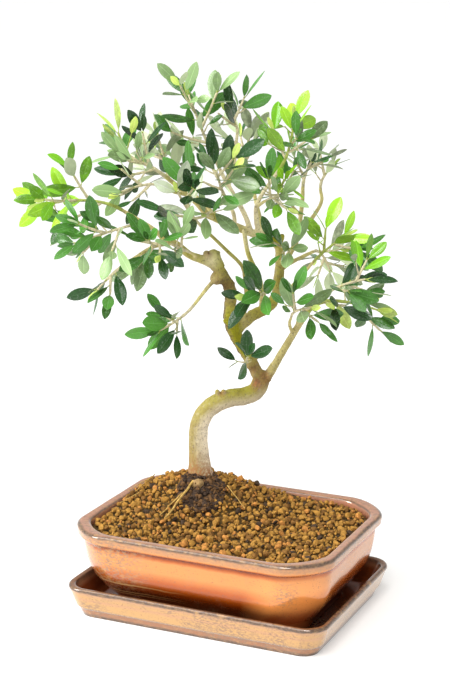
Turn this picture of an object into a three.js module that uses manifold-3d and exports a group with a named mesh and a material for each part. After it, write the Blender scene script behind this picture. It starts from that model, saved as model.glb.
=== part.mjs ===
// An olive bonsai in a rectangular glazed pot that stands on its drip tray. Millimetres, +Z up.
// The origin is the middle of the tray's underside, with +X along the pot's long side.
import * as THREE from "three";
import { mergeVertices } from "three/addons/utils/BufferGeometryUtils.js";
import Module from "manifold-3d";

const wasm = await Module();
wasm.setup();

// Clearance that touching pieces keep.
const GAP = 0.3;

// Pot: outside sizes at the rim, where its middle stands on the tray, the size of its corners and how far
// along that size each corner leaves the sides before it bends.
const POT_LENGTH = 203;
const POT_WIDTH = 166;
const POT_MIDDLE = new THREE.Vector2(-1.5, 3);
const RIM_TOP = 68;
const POT_CORNER = 34;
const POT_CORNER_PULL = 0.43;
const POT_CORNER_STEPS = 6;

// Pot profile: how far each level lies inside the rim's outer edge.
const TRAY_FLOOR = 6;
const POT_FOOT = TRAY_FLOOR + GAP;
const POT_OUTSIDE = [
  { z: POT_FOOT, inset: 24 },
  { z: POT_FOOT + 7, inset: 23 },
  { z: POT_FOOT + 8, inset: 20.5 },
  { z: 21, inset: 15 },
  { z: 29, inset: 9.5 },
  { z: 39, inset: 6 },
  { z: 50, inset: 4.4 },
  { z: 58.5, inset: 3.6 },
  { z: 60.5, inset: 0.6 },
  { z: 66.3, inset: 0 },
  { z: RIM_TOP, inset: 1.6 },
];
const POT_INSIDE = [
  { z: RIM_TOP - 0.4, inset: 7 },
  { z: 66, inset: 8.4 },
  { z: 58, inset: 9.2 },
  { z: 40, inset: 12 },
  { z: 26, inset: 19 },
  { z: 15, inset: 27 },
];

// Drip tray: outside sizes at its rim, and its profile.
const TRAY_LENGTH = 205;
const TRAY_WIDTH = 159;
const TRAY_TOP = 24.4;
const TRAY_CORNER = 17;
const TRAY_CORNER_LEAST = 6;
const TRAY_CORNER_STEPS = 6;
const TRAY_OUTSIDE = [
  { z: 0, inset: 9.5 },
  { z: 6.5, inset: 7 },
  { z: 7.5, inset: 5.4 },
  { z: 19.5, inset: 1.4 },
  { z: 22.6, inset: 0 },
  { z: TRAY_TOP, inset: 1.4 },
];
const TRAY_INSIDE = [
  { z: TRAY_TOP - 0.6, inset: 4.6 },
  { z: 20, inset: 6 },
  { z: 9, inset: 10.5 },
  { z: TRAY_FLOOR, inset: 14 },
];

// Soil: its level at the pot's wall, the mound that the trunk stands on, and the small heaps that its granules
// lie in: how far apart they are, how high, how far their rows sway, and the level ground at the trunk's foot.
const SOIL_EDGE = 64;
const SOIL_MOUND = 19.5;
const SOIL_MOUND_SPREAD = 46;
const HEAP_SPACING = 15;
const HEAP_RISE = 1.5;
const HEAP_SWAY = 2.4;
const HEAP_SWAY_LENGTH = 11;
const HEAP_FREE = 12;

// The tree's own axes: x across its front, y to its back, with its front turned to the pot's right.
// Its limbs have rings at and between the points of their path, and the trunk flares at its foot.
const TREE_FOOT = new THREE.Vector3(-44, 40, SOIL_EDGE + SOIL_MOUND + GAP);
const TREE_TURN = THREE.MathUtils.degToRad(23.5);
const LIMB_STEPS = 2;
const ROOT_FLARE = 3;
const ROOT_FLARE_HEIGHT = 7;

// Limbs, in the order they grow. A limb starts inside its parent and is cut clear of the limbs before it, but
// a spur that names the limb it is on is one piece with that limb.
// Each has its thickness at foot and tip, and the few points that its line bends through.
const LIMBS = {
  trunk: {
    thick: [14.6, 13.6], sides: 12,
    path: [[0, 0, 0], [-1.5, 0, 19], [-1.7, -1, 36], [2.4, -2, 49], [12, -1, 57.5], [23, 2, 61],
      [34, 5, 62], [42.5, 7, 66], [46.6, 8, 75]],
  },
  leader: {
    thick: [9.8, 8.6], sides: 8,
    path: [[46.6, 8, 72], [37, 6, 91], [28, 3, 106.5], [22, 0, 121], [21.3, -3, 134], [22, -6, 145],
      [17, -9, 157], [7, -11, 171]],
  },
  right_bough: {
    thick: [7, 4.6], sides: 7,
    path: [[47.5, 8, 70], [53.5, 4, 82], [62, -3, 100], [72, -11, 120], [79.5, -17, 134]],
  },
  left_bough: {
    thick: [7.2, 4.8], sides: 7,
    path: [[10, -10.5, 167], [1, -14, 171.5], [-9, -18, 176], [-19, -24, 185], [-28.5, -28, 190]],
  },
  left_high_bough: {
    thick: [3.8, 2.8], sides: 5,
    path: [[-28, -28, 189.5], [-37, -32, 198.5], [-58, -42, 213]],
  },
  left_low_bough: {
    thick: [3.4, 2.6], sides: 5,
    path: [[-22, -25, 186], [-36, -38, 185], [-54.5, -50, 175]],
  },
  left_mid_spur: { thick: [2.8, 2.2], sides: 5, path: [[-39, -33, 200], [-45, -42, 203], [-50, -49, 203]] },
  left_inner_spur: {
    thick: [3, 2.4], sides: 5,
    path: [[-15, -21.5, 181.5], [-20, -31, 187], [-27, -40, 190]],
  },
  droop_bough: { thick: [3.6, 2.6], sides: 5, path: [[16, -9, 158.5], [7.5, -15, 154.5], [-6, -25, 139]] },
  back_bough: {
    thick: [8.6, 7.6], sides: 7,
    path: [[25, 1.5, 113], [38, 10, 124], [50.5, 18, 129], [57.5, 24, 140], [59, 28, 155], [59.5, 30, 167]],
  },
  arch_bough: {
    thick: [7.6, 5.6], sides: 7,
    path: [[59.5, 30, 165], [58.5, 30, 174], [52, 29, 179.5], [42, 26, 183.5], [15, 18, 195.5],
      [1.5, 14, 202]],
  },
  upper_left_bough: { thick: [5, 3.4], sides: 5, path: [[2.5, 14.2, 201.5], [-8, 8, 214], [-28, -2, 232]] },
  upper_left_spur: { thick: [3, 2.4], sides: 5, path: [[-11, 6.5, 217], [-21, -6, 221], [-31, -16, 227]] },
  mid_stem: {
    thick: [3.8, 2.6], sides: 5,
    path: [[30, 5, 118], [33.5, 1, 138], [32.5, -1, 152], [30, -4, 165], [19, -7, 177], [0.5, -10, 195]],
  },
  upright_left: {
    thick: [4.4, 2.6], sides: 5,
    path: [[37, 24, 185.5], [31, 18, 202], [17, 6, 228], [10, 2, 242]],
  },
  top_mid_bough: { thick: [3, 2.4], sides: 5, path: [[19, 8, 224], [23, 9, 241], [25, 4, 264]] },
  upright_right: {
    thick: [4.6, 2.8], sides: 5,
    path: [[43.5, 26, 182.5], [40.5, 22, 197], [42, 18, 212], [57.5, 10, 237.5]],
  },
  upper_right_bough: {
    thick: [4.8, 3], sides: 5,
    path: [[58.5, 28, 154], [67, 34, 168.5], [72.5, 38, 179.5], [76, 45, 205], [76.5, 48, 218.5]],
  },
  right_fork_bough: {
    thick: [3.8, 2.6], sides: 5,
    path: [[72.5, 38.5, 181], [80.5, 44, 189.5], [91, 52, 205], [90.5, 56, 216]],
  },
  right_inner_spur: { thick: [3, 2.4], sides: 5, path: [[59, 30, 160], [63, 18, 168], [65, 8, 174]] },
  right_thin_bough: {
    thick: [3.4, 2.4], sides: 5,
    path: [[57, 23.5, 138], [67, 18, 144.5], [84.5, 8, 167.5]],
  },
  right_mid_bough: {
    thick: [3.4, 2.6], sides: 5,
    path: [[71.5, -11, 119], [75, -22, 133], [92, -30, 150]],
  },
  front_spur: { thick: [3.4, 2.8], sides: 5, path: [[48, 17, 128.5], [47, 2, 137], [47, -9, 144]] },
  low_spur: { thick: [2.8, 2.2], sides: 5, path: [[37, 6, 91], [37, -4, 92], [35, -12, 93]] },
  centre_spur: { thick: [3.6, 2.6], sides: 5, path: [[24, 20.5, 191.5], [23, 9, 203], [16, -12, 220]] },
  inner_right_spur: { thick: [3, 2.2], sides: 5, path: [[75, 43.5, 197], [69, 35, 204], [65, 28, 211]] },
  back_left_bough: { thick: [4.4, 2.8], sides: 5, path: [[17, 18.5, 194.5], [6, 30, 201], [-14, 46, 218]] },
  back_mid_bough: { thick: [4.4, 2.8], sides: 5, path: [[48, 27.5, 181.5], [44, 40, 193], [36, 55, 223]] },
  back_right_bough: { thick: [4.2, 2.8], sides: 5, path: [[59, 28, 156], [68, 40, 160], [86, 56, 166]] },
  arch_spur: {
    on: "arch_bough", thick: [2.8, 2.2], sides: 5,
    path: [[8, 16, 198.7], [6, 6, 201], [4, -4, 203]],
  },
  left_fore_spur: {
    on: "left_bough", thick: [2.8, 2.2], sides: 5,
    path: [[-4, -16, 173.7], [-6, -26, 178], [-9, -34, 181]],
  },
  right_fore_spur: {
    on: "right_bough", thick: [2.8, 2.2], sides: 5,
    path: [[69, -8.8, 114.5], [66, -17, 124], [67, -25, 132]],
  },
  centre_right_spur: {
    on: "upright_right", thick: [2.8, 2.2], sides: 5,
    path: [[41.2, 19.5, 207], [45, 8, 212], [48, 0, 215]],
  },
};

// Masses of foliage. Each has the limb whose tip it grows from, where its stem ends, how many side shoots it
// has, the turn of the first of them out of the front plane, the length of its leaves and its own seed.
const MASSES = {
  left_tip: { limb: "left_high_bough", tip: [-114, -50, 218], shoots: 4, turn: 0, leaf: 25, seed: 151 },
  left_mid: { limb: "left_mid_spur", tip: [-90, -60, 191], shoots: 5, turn: 60, leaf: 25, seed: 327 },
  left_inner: { limb: "left_inner_spur", tip: [-38, -54, 183], shoots: 4, turn: 20, leaf: 27, seed: 387 },
  left_low: { limb: "left_low_bough", tip: [-74, -60, 158], shoots: 1, turn: 20, leaf: 25, seed: 160 },
  left_droop: { limb: "droop_bough", tip: [-30, -38, 123], shoots: 1, turn: 45, leaf: 28, seed: 308 },
  upper_left: { limb: "upper_left_bough", tip: [-61, -10, 249], shoots: 5, turn: 0, leaf: 26, seed: 92 },
  upper_left_low: { limb: "upper_left_spur", tip: [-59, -28, 224], shoots: 3, turn: 0, leaf: 26, seed: 276 },
  upper_left_inner: { limb: "mid_stem", tip: [-18, -26, 224], shoots: 3, turn: 30, leaf: 28, seed: 107 },
  top_left: { limb: "upright_left", tip: [-11, 0, 292], shoots: 3, turn: 0, leaf: 26, seed: 290 },
  top_mid: { limb: "top_mid_bough", tip: [20, 2, 278], shoots: 2, turn: 0, leaf: 27, seed: 81 },
  top_right: { limb: "upright_right", tip: [66, 4, 266], shoots: 4, turn: 0, leaf: 25, seed: 172 },
  centre: { limb: "centre_spur", tip: [10, -28, 240], shoots: 5, turn: 0, leaf: 28, seed: 138 },
  inner_right: { limb: "inner_right_spur", tip: [56, 18, 226], shoots: 3, turn: 0, leaf: 22, seed: 405 },
  right_top: { limb: "upper_right_bough", tip: [82, 42, 238], shoots: 2, turn: 0, leaf: 20, seed: 147 },
  right_edge: { limb: "right_fork_bough", tip: [100, 58, 234], shoots: 1, turn: 0, leaf: 18, seed: 218 },
  right_bright: { limb: "right_thin_bough", tip: [106, 4, 187], shoots: 2, turn: 0, leaf: 27, seed: 338 },
  right_inner: { limb: "right_inner_spur", tip: [66, -4, 179], shoots: 1, turn: 0, leaf: 28, seed: 481 },
  right_mid: { limb: "right_mid_bough", tip: [120, -32, 162], shoots: 4, turn: 90, leaf: 26, seed: 374 },
  right_low: { limb: "right_bough", tip: [130, -26, 138], shoots: 3, turn: 90, leaf: 25, seed: 487 },
  front: { limb: "front_spur", tip: [45, -24, 150], shoots: 1, turn: 0, leaf: 30, seed: 292 },
  low: { limb: "low_spur", tip: [35, -27, 101], shoots: 0, turn: 0, leaf: 27, seed: 349 },
  back_left: { limb: "back_left_bough", tip: [-38, 64, 243], shoots: 4, turn: 45, leaf: 26, seed: 27 },
  back_mid: { limb: "back_mid_bough", tip: [28, 66, 254], shoots: 4, turn: 45, leaf: 26, seed: 28 },
  back_right: { limb: "back_right_bough", tip: [100, 64, 150], shoots: 4, turn: 45, leaf: 26, seed: 29 },
  arch: { limb: "arch_spur", tip: [2, -24, 208], shoots: 2, turn: 0, leaf: 27, seed: 471 },
  left_fore: { limb: "left_fore_spur", tip: [-22, -50, 190], shoots: 3, turn: 0, leaf: 27, seed: 17 },
  right_fore: { limb: "right_fore_spur", tip: [80, -42, 142], shoots: 2, turn: 0, leaf: 27, seed: 98 },
  centre_right: { limb: "centre_right_spur", tip: [58, -12, 220], shoots: 3, turn: 0, leaf: 26, seed: 78 },
};

// How shoots grow: thicknesses, where side shoots leave a stem, how they lean, and their length.
const TWIG_TIP = 1.5;
const TWIG_BENDS = 2;
const STEM_SHARE = 0.92;
const STEM_REACH = 0.4;
const STEM_SIDES = 4;
const SHOOT_SIDES = 3;
const SHOOT_THICK = 2.2;
const SHOOT_FIRST = 0.25;
const SHOOT_LAST = 0.9;
const SHOOT_SWING = [-22, 22];
const SHOOT_LEAN = [42, 58];
const SHOOT_SHARE = [0.45, 0.65];
const SHOOT_LENGTH = [16, 32];
const SHOOT_REACH = 0.5;
const SHOOT_RISE = 0.1;

// How leaves grow: in opposite pairs, each pair square to the last, closer to the shoot at its tip.
const STEM_PAIRS = 4;
const SHOOT_PAIRS = 3;
const INTERNODE = 8;
const LEAFY_SHARE = 0.7;
const TIP_INSET = 0.015;
const LEAF_SWING = [-18, 18];
const LEAF_LEAN = [30, 60];
const LEAF_LEAN_SWING = [-9, 9];
const LEAF_ROLL = [-60, 60];
const LEAF_SPREAD = [0.82, 1.18];
const TIP_LEAF = 0.88;

// The blade: shares of its length and half width, the thickness of its rib and how deep its root is sunk.
const LEAF_ASPECT = 0.37;
const LEAF_WIDEST = 0.5;
const LEAF_TIP = 0.98;
const LEAF_TIP_WIDTH = 0.32;
const LEAF_RIB = 0.22;
const LEAF_THICK = 0.7;
const LEAF_ROOT = 0.2;

// Leaves turn to the light, which reaches the front of the crown from the front and the back from behind,
// and a little towards the tip of their shoot.
const LIGHT_SIDE = 0.8;
const LIGHT_ABOVE = 0.55;
const LIGHT_MIDDLE = 34;
const LIGHT_SPREAD = 26;
const TIP_PULL = 0.35;

// Growth is stood for by balls: how far apart they lie along a shoot, how much of a shoot's foot is left out,
// and where they lie on a leaf, in shares of its length and half width.
const BALL_STEP = 1.5;
const STEM_FOOT = 0.06;
const SHOOT_FOOT = 0.2;
const GROWTH_GAP = 2 * GAP;
const LEAF_BALL = 0.3;
const LEAF_BALLS = [
  [0.3, 0], [0.46, 0.45], [0.46, -0.45], [0.62, 0], [0.62, 0.62], [0.62, -0.62],
  [0.8, 0.3], [0.8, -0.3], [0.97, 0],
];

const UP = new THREE.Vector3(0, 0, 1);
const TO_BACK = new THREE.Vector3(0, 1, 0);

// Small tools.

function seeded(seed) {
  let state = (seed * 40503) >>> 0;
  return () => {
    state = (Math.imul(state, 1664525) + 1013904223) >>> 0;
    return state / 4294967296;
  };
}

const between = (random, [low, high]) => low + (high - low) * random();

function solidOf(geometry) {
  geometry.deleteAttribute("normal");
  geometry.deleteAttribute("uv");
  const merged = mergeVertices(geometry, 1e-4);
  return new wasm.Manifold(new wasm.Mesh({
    numProp: 3,
    vertProperties: merged.attributes.position.array,
    triVerts: new Uint32Array(merged.index.array),
  }));
}

function geometryOf(solid) {
  const mesh = solid.getMesh();
  return new THREE.BufferGeometry()
    .setAttribute("position", new THREE.BufferAttribute(mesh.vertProperties, 3))
    .setIndex(new THREE.BufferAttribute(mesh.triVerts, 1));
}

const largestOf = (solid) => solid.decompose().reduce((a, b) => (a.volume() > b.volume() ? a : b));

// A closed skin over rings of equal size, first ring to last. Each end is closed by a fan from one of its
// points, or from its middle where the ring isn't convex.
function skin(rings, fromMiddle = false) {
  const count = rings[0].length;
  const points = rings.flat();
  const faces = [];
  for (let r = 0; r + 1 < rings.length; r++) {
    for (let i = 0; i < count; i++) {
      const a = r * count + i;
      const b = r * count + ((i + 1) % count);
      faces.push(a, b, b + count, a, b + count, a + count);
    }
  }
  const closeEnd = (start, isLast) => {
    const ring = points.slice(start, start + count);
    const middle = ring.reduce((sum, p) => sum.add(p), new THREE.Vector3()).divideScalar(count);
    const hub = fromMiddle ? points.push(middle) - 1 : start;
    for (let i = fromMiddle ? 0 : 1; i < (fromMiddle ? count : count - 1); i++) {
      const a = start + i;
      const b = start + ((i + 1) % count);
      faces.push(hub, isLast ? a : b, isLast ? b : a);
    }
  };
  closeEnd(0, false);
  closeEnd((rings.length - 1) * count, true);
  const geometry = new THREE.BufferGeometry().setFromPoints(points);
  geometry.setIndex(faces);
  return geometry;
}

// Outlines of the pot and the tray, seen from above, anticlockwise.

// A rectangle with soft cut corners, which are flatter than a round.
function potOutline(inset) {
  const halfLength = POT_LENGTH / 2 - inset;
  const halfWidth = POT_WIDTH / 2 - inset;
  const size = POT_CORNER * (1 - inset / POT_WIDTH);
  const bend = size * (1 - POT_CORNER_PULL);
  const corner = new THREE.CubicBezierCurve(
    new THREE.Vector2(halfLength, halfWidth - size),
    new THREE.Vector2(halfLength, halfWidth - bend),
    new THREE.Vector2(halfLength - bend, halfWidth),
    new THREE.Vector2(halfLength - size, halfWidth),
  );
  const outline = mirrored(corner.getPoints(POT_CORNER_STEPS).map(({ x, y }) => [x, y]));
  return outline.map(([x, y]) => [x + POT_MIDDLE.x, y + POT_MIDDLE.y]);
}

// A rectangle with round corners.
function trayOutline(inset) {
  const halfLength = TRAY_LENGTH / 2 - inset;
  const halfWidth = TRAY_WIDTH / 2 - inset;
  const radius = Math.max(TRAY_CORNER - inset / 2, TRAY_CORNER_LEAST);
  const corner = Array.from({ length: TRAY_CORNER_STEPS + 1 }, (_, i) => {
    const angle = (i / TRAY_CORNER_STEPS) * (Math.PI / 2);
    return [halfLength - radius * (1 - Math.cos(angle)), halfWidth - radius * (1 - Math.sin(angle))];
  });
  return mirrored(corner);
}

// One corner, run from the short side to the long side, made into all four.
function mirrored(corner) {
  const back = [...corner].reverse();
  return [
    ...corner,
    ...back.map(([x, y]) => [-x, y]),
    ...corner.map(([x, y]) => [-x, -y]),
    ...back.map(([x, y]) => [x, -y]),
  ];
}

const ringAt = (outline, { z, inset }) => outline(inset).map(([x, y]) => new THREE.Vector3(x, y, z));

// Pot, tray and soil.

const vessel = (outline, levels) => skin(levels.map((level) => ringAt(outline, level)), true);

// Heaps and the pits between them lie on a chequered grid, with the trunk's foot at one of its points.
const HEAP_GRID = HEAP_SPACING / Math.SQRT2;

function soilHeight(x, y) {
  const distance = Math.hypot(x, y);
  const mound = SOIL_MOUND * Math.exp(-((distance / SOIL_MOUND_SPREAD) ** 2));
  const heap = HEAP_RISE * Math.cos((Math.PI * x) / HEAP_GRID) * Math.cos((Math.PI * y) / HEAP_GRID);
  return SOIL_EDGE + mound + heap * THREE.MathUtils.smoothstep(distance, HEAP_FREE, 2 * HEAP_FREE);
}

// A block wider than the pot, whose top is the heaped surface of the soil.
function heapedBlock() {
  const width = 2 * HEAP_GRID * Math.ceil(POT_LENGTH / HEAP_GRID);
  const squares = width / HEAP_GRID;
  const block = new THREE.BoxGeometry(width, width, 2 * RIM_TOP, squares, squares, 1);
  const places = block.attributes.position;
  for (let i = 0; i < places.count; i++) {
    if (places.getZ(i) < 0) continue;
    const x = places.getX(i);
    const y = places.getY(i);
    const swayX = HEAP_SWAY * Math.sin(y / HEAP_SWAY_LENGTH);
    const swayY = HEAP_SWAY * Math.sin(x / HEAP_SWAY_LENGTH);
    places.setXYZ(i, x + swayX, y + swayY, soilHeight(x, y));
  }
  return block.translate(TREE_FOOT.x, TREE_FOOT.y, 0);
}

// The soil fills the pot up to its own heaped surface.
function soilSolid() {
  const below = POT_INSIDE.filter(({ z }) => z < SOIL_EDGE).reverse();
  const levels = below.map(({ z, inset }) => ({ z: z + GAP, inset: inset + GAP }));
  const open = { z: TREE_FOOT.z, inset: levels.at(-1).inset };
  const inside = skin([...levels, open].map((level) => ringAt(potOutline, level)), true);
  return solidOf(inside).intersect(solidOf(heapedBlock()));
}

// Limbs.

const vectors = (path) => path.map(([x, y, z]) => new THREE.Vector3(x, y, z));
const limbCurve = ({ path }) => new THREE.CatmullRomCurve3(vectors(path), false, "catmullrom", 0.5);

function limbRadius(name, share, length) {
  const { thick: [foot, tip] } = LIMBS[name];
  const flare = name === "trunk" ? ROOT_FLARE * Math.exp((-share * length) / ROOT_FLARE_HEIGHT) : 0;
  return (foot + (tip - foot) * share) / 2 + flare;
}

// Rings square to a curve, turned from one to the next without twist. The first can be held level.
function tubeRings(curve, steps, sides, radiusAt, levelFoot = false) {
  const tangents = Array.from({ length: steps + 1 }, (_, i) => curve.getTangent(i / steps));
  if (levelFoot) tangents[0].copy(UP);
  const side = new THREE.Vector3(1, 0, 0);
  return tangents.map((tangent, i) => {
    side.addScaledVector(tangent, -side.dot(tangent));
    if (side.lengthSq() < 1e-6) side.crossVectors(tangent, TO_BACK);
    side.normalize();
    const other = new THREE.Vector3().crossVectors(tangent, side);
    const middle = curve.getPoint(i / steps);
    const radius = radiusAt(i / steps);
    return Array.from({ length: sides }, (_, k) => {
      const angle = (k / sides) * 2 * Math.PI;
      return middle.clone()
        .addScaledVector(side, radius * Math.cos(angle))
        .addScaledVector(other, radius * Math.sin(angle));
    });
  });
}

function limbSolid(name, grow) {
  const limb = LIMBS[name];
  const curve = limbCurve(limb);
  const steps = (limb.path.length - 1) * LIMB_STEPS;
  const length = curve.getLength();
  const radiusAt = (share) => limbRadius(name, share, length) + grow;
  return solidOf(skin(tubeRings(curve, steps, limb.sides, radiusAt, name === "trunk")));
}

function makeLimbs() {
  const made = {};
  const earlier = [];
  for (const [name, { on }] of Object.entries(LIMBS)) {
    let solid = limbSolid(name, 0);
    for (const other of earlier) {
      if (other !== on) solid = solid.subtract(limbSolid(other, GAP));
    }
    solid = largestOf(solid);
    if (on) made[on] = made[on].add(solid);
    else made[name] = solid;
    earlier.push(name);
  }
  return made;
}

// Room: everything that grows is stood for by balls, and new growth keeps clear of the balls before it.

const room = [];

function claim(balls, owner) {
  for (const ball of balls) room.push({ ...ball, owner });
}

// Whether balls keep clear of everything but the shoot that they grow from.
function isClear(balls, parent) {
  return balls.every(({ at, radius }) => room.every((other) => (
    other.owner === parent || at.distanceTo(other.at) > radius + other.radius + GROWTH_GAP
  )));
}

function ballsAlong(curve, radiusAt, from = 0) {
  const length = curve.getLength();
  const count = Math.max(2, Math.ceil(length / BALL_STEP));
  return Array.from({ length: count + 1 }, (_, i) => from + ((1 - from) * i) / count)
    .map((share) => ({ at: curve.getPoint(share), radius: radiusAt(share) }));
}

// Shoots.

const bent = (start, direction, reach, end) => (
  new THREE.QuadraticBezierCurve3(start, start.clone().addScaledVector(direction, reach), end)
);

function stemOf(mass) {
  const limb = LIMBS[mass.limb];
  const limbLine = limbCurve(limb);
  const direction = limbLine.getTangent(1);
  const start = limbLine.getPoint(1).addScaledVector(direction, GAP);
  const end = new THREE.Vector3(...mass.tip);
  const curve = bent(start, direction, start.distanceTo(end) * STEM_REACH, end);
  const thick = limb.thick[1] * STEM_SHARE;
  return { curve, length: curve.getLength(), thick, turn: mass.turn, pairs: STEM_PAIRS };
}

// A direction square to a shoot. At turn 0 it lies in the front plane.
function squareTo(tangent, turn) {
  const first = new THREE.Vector3().crossVectors(tangent, TO_BACK);
  if (first.lengthSq() < 1e-4) first.copy(UP);
  first.normalize();
  const second = new THREE.Vector3().crossVectors(tangent, first);
  const angle = THREE.MathUtils.degToRad(turn);
  return first.multiplyScalar(Math.cos(angle)).addScaledVector(second, Math.sin(angle));
}

function leaning(tangent, outward, lean) {
  const angle = THREE.MathUtils.degToRad(lean);
  return tangent.clone().multiplyScalar(Math.cos(angle)).addScaledVector(outward, Math.sin(angle));
}

function sideShoot(stem, mass, random, i) {
  const share = SHOOT_FIRST + ((SHOOT_LAST - SHOOT_FIRST) * (i + 0.5)) / mass.shoots;
  const turn = mass.turn + 180 * (i % 2) + 90 * Math.floor(i / 2) + between(random, SHOOT_SWING);
  const tangent = stem.curve.getTangent(share);
  const direction = leaning(tangent, squareTo(tangent, turn), between(random, SHOOT_LEAN));
  const wanted = stem.length * between(random, SHOOT_SHARE);
  const length = THREE.MathUtils.clamp(wanted, ...SHOOT_LENGTH);
  const start = stem.curve.getPoint(share);
  const end = start.clone().addScaledVector(direction, length).addScaledVector(UP, length * SHOOT_RISE);
  const curve = bent(start, direction, length * SHOOT_REACH, end);
  return { curve, length: curve.getLength(), thick: SHOOT_THICK, turn: turn + 45, pairs: SHOOT_PAIRS };
}

const shootRadius = (shoot) => (share) => (shoot.thick + (TWIG_TIP - shoot.thick) * share) / 2;

// Leaves.

function lightAt(point) {
  const side = THREE.MathUtils.clamp((point.y - LIGHT_MIDDLE) / LIGHT_SPREAD, -1, 1);
  return new THREE.Vector3(0, LIGHT_SIDE * side, LIGHT_ABOVE);
}

// A leaf from its root: a blade that faces the light and the shoot's tip, and its own length and half width.
function placeLeaf(shoot, share, turn, lean, roll, length) {
  const tangent = shoot.curve.getTangent(share);
  const root = shoot.curve.getPoint(share);
  const along = leaning(tangent, squareTo(tangent, turn), lean);
  const face = tangent.clone().multiplyScalar(TIP_PULL).add(lightAt(root));
  face.addScaledVector(along, -face.dot(along)).normalize();
  face.applyAxisAngle(along, THREE.MathUtils.degToRad(roll));
  const across = new THREE.Vector3().crossVectors(along, face);
  return { root, along, face, across, length, half: (length * LEAF_ASPECT) / 2 };
}

function leafPoint({ root, along, face, across }, forward, sideways, up) {
  return root.clone()
    .addScaledVector(along, forward)
    .addScaledVector(across, sideways)
    .addScaledVector(face, up);
}

// The blade is widest near its middle, blunt at the tip and thickest along its rib. Its pointed root is sunk
// through the middle of the shoot.
function leafSolid(leaf) {
  const { length, half } = leaf;
  const points = [
    leafPoint(leaf, -LEAF_ROOT, 0, 0),
    leafPoint(leaf, length * LEAF_WIDEST, half, 0),
    leafPoint(leaf, length * LEAF_TIP, half * LEAF_TIP_WIDTH, 0),
    leafPoint(leaf, length * LEAF_TIP, -half * LEAF_TIP_WIDTH, 0),
    leafPoint(leaf, length * LEAF_WIDEST, -half, 0),
    leafPoint(leaf, length * LEAF_RIB, 0, LEAF_THICK),
  ];
  const [root, right, tipRight, tipLeft, left, rib] = points.keys();
  const geometry = new THREE.BufferGeometry().setFromPoints(points);
  geometry.setIndex([
    root, right, rib, right, tipRight, rib, tipRight, tipLeft, rib, tipLeft, left, rib, left, root, rib,
    root, left, right, left, tipLeft, right, tipLeft, tipRight, right,
  ]);
  return solidOf(geometry);
}

function leafBalls(leaf) {
  const { length, half } = leaf;
  return LEAF_BALLS.map(([forward, sideways]) => ({
    at: leafPoint(leaf, length * forward, half * sideways, 0),
    radius: half * LEAF_BALL,
  }));
}

// The pairs of leaves on a shoot, from its tip back to where it is bare.
function leavesOn(shoot, mass, random) {
  const pairs = Math.min(shoot.pairs, 1 + Math.floor((shoot.length * LEAFY_SHARE) / INTERNODE));
  const grown = [];
  for (let pair = 0; pair < pairs; pair++) {
    const share = 1 - (pair * INTERNODE) / shoot.length - TIP_INSET;
    const opening = LEAF_LEAN[0] + (LEAF_LEAN[1] - LEAF_LEAN[0]) * Math.min(1, pair / 2);
    for (const side of [0, 180]) {
      const turn = shoot.turn + 90 * pair + side + between(random, LEAF_SWING);
      const lean = opening + between(random, LEAF_LEAN_SWING);
      const roll = between(random, LEAF_ROLL);
      const length = mass.leaf * between(random, LEAF_SPREAD) * (pair === 0 ? TIP_LEAF : 1);
      const leaf = placeLeaf(shoot, share, turn, lean, roll, length);
      const balls = leafBalls(leaf);
      if (!isClear(balls, shoot)) continue;
      claim(balls, leaf);
      grown.push(leaf);
    }
  }
  return grown;
}

// Grows every mass: first all the stems, then their side shoots, then the leaves.
function growFoliage() {
  for (const name of Object.keys(LIMBS)) {
    const curve = limbCurve(LIMBS[name]);
    const length = curve.getLength();
    claim(ballsAlong(curve, (share) => limbRadius(name, share, length)), name);
  }
  const plants = Object.entries(MASSES).map(([name, mass]) => {
    const stem = stemOf(mass);
    claim(ballsAlong(stem.curve, shootRadius(stem), STEM_FOOT), stem);
    return { name, mass, random: seeded(mass.seed), shoots: [stem], leaves: [] };
  });
  for (const plant of plants) {
    const [stem] = plant.shoots;
    for (let i = 0; i < plant.mass.shoots; i++) {
      const shoot = sideShoot(stem, plant.mass, plant.random, i);
      const balls = ballsAlong(shoot.curve, shootRadius(shoot), SHOOT_FOOT);
      if (!isClear(balls, stem)) continue;
      claim(balls, shoot);
      plant.shoots.push(shoot);
    }
  }
  for (const plant of plants) {
    for (const shoot of plant.shoots) plant.leaves.push(...leavesOn(shoot, plant.mass, plant.random));
  }
  return plants;
}

function shootSolid(shoot, sides) {
  return solidOf(skin(tubeRings(shoot.curve, TWIG_BENDS, sides, shootRadius(shoot))));
}

function massSolid({ shoots, leaves }) {
  const wood = shoots.map((shoot, i) => shootSolid(shoot, i === 0 ? STEM_SIDES : SHOOT_SIDES));
  return largestOf(wasm.Manifold.union([...wood, ...leaves.map(leafSolid)]));
}

// Finishes.

const finish = (color, roughness) => new THREE.MeshStandardMaterial({ color, roughness, metalness: 0 });
const COPPER_GLAZE = finish(0xc9793f, 0.2);
const TRAY_GLAZE = finish(0xc79a66, 0.22);
const CLAY_GRANULES = finish(0x7d5a2b, 0.95);
const OLD_BARK = finish(0xb3a173, 0.85);
const YOUNG_BARK = finish(0xb9ab73, 0.8);
const LEAVES = finish(0x3f6b41, 0.45);

function piece(name, geometry, material) {
  const mesh = new THREE.Mesh(geometry, material);
  mesh.name = name;
  return mesh;
}

// The whole object.

const bonsai = new THREE.Group();
bonsai.add(piece("drip_tray", vessel(trayOutline, [...TRAY_OUTSIDE, ...TRAY_INSIDE]), TRAY_GLAZE));
bonsai.add(piece("pot", vessel(potOutline, [...POT_OUTSIDE, ...POT_INSIDE]), COPPER_GLAZE));
bonsai.add(piece("soil", geometryOf(soilSolid()), CLAY_GRANULES));

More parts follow.
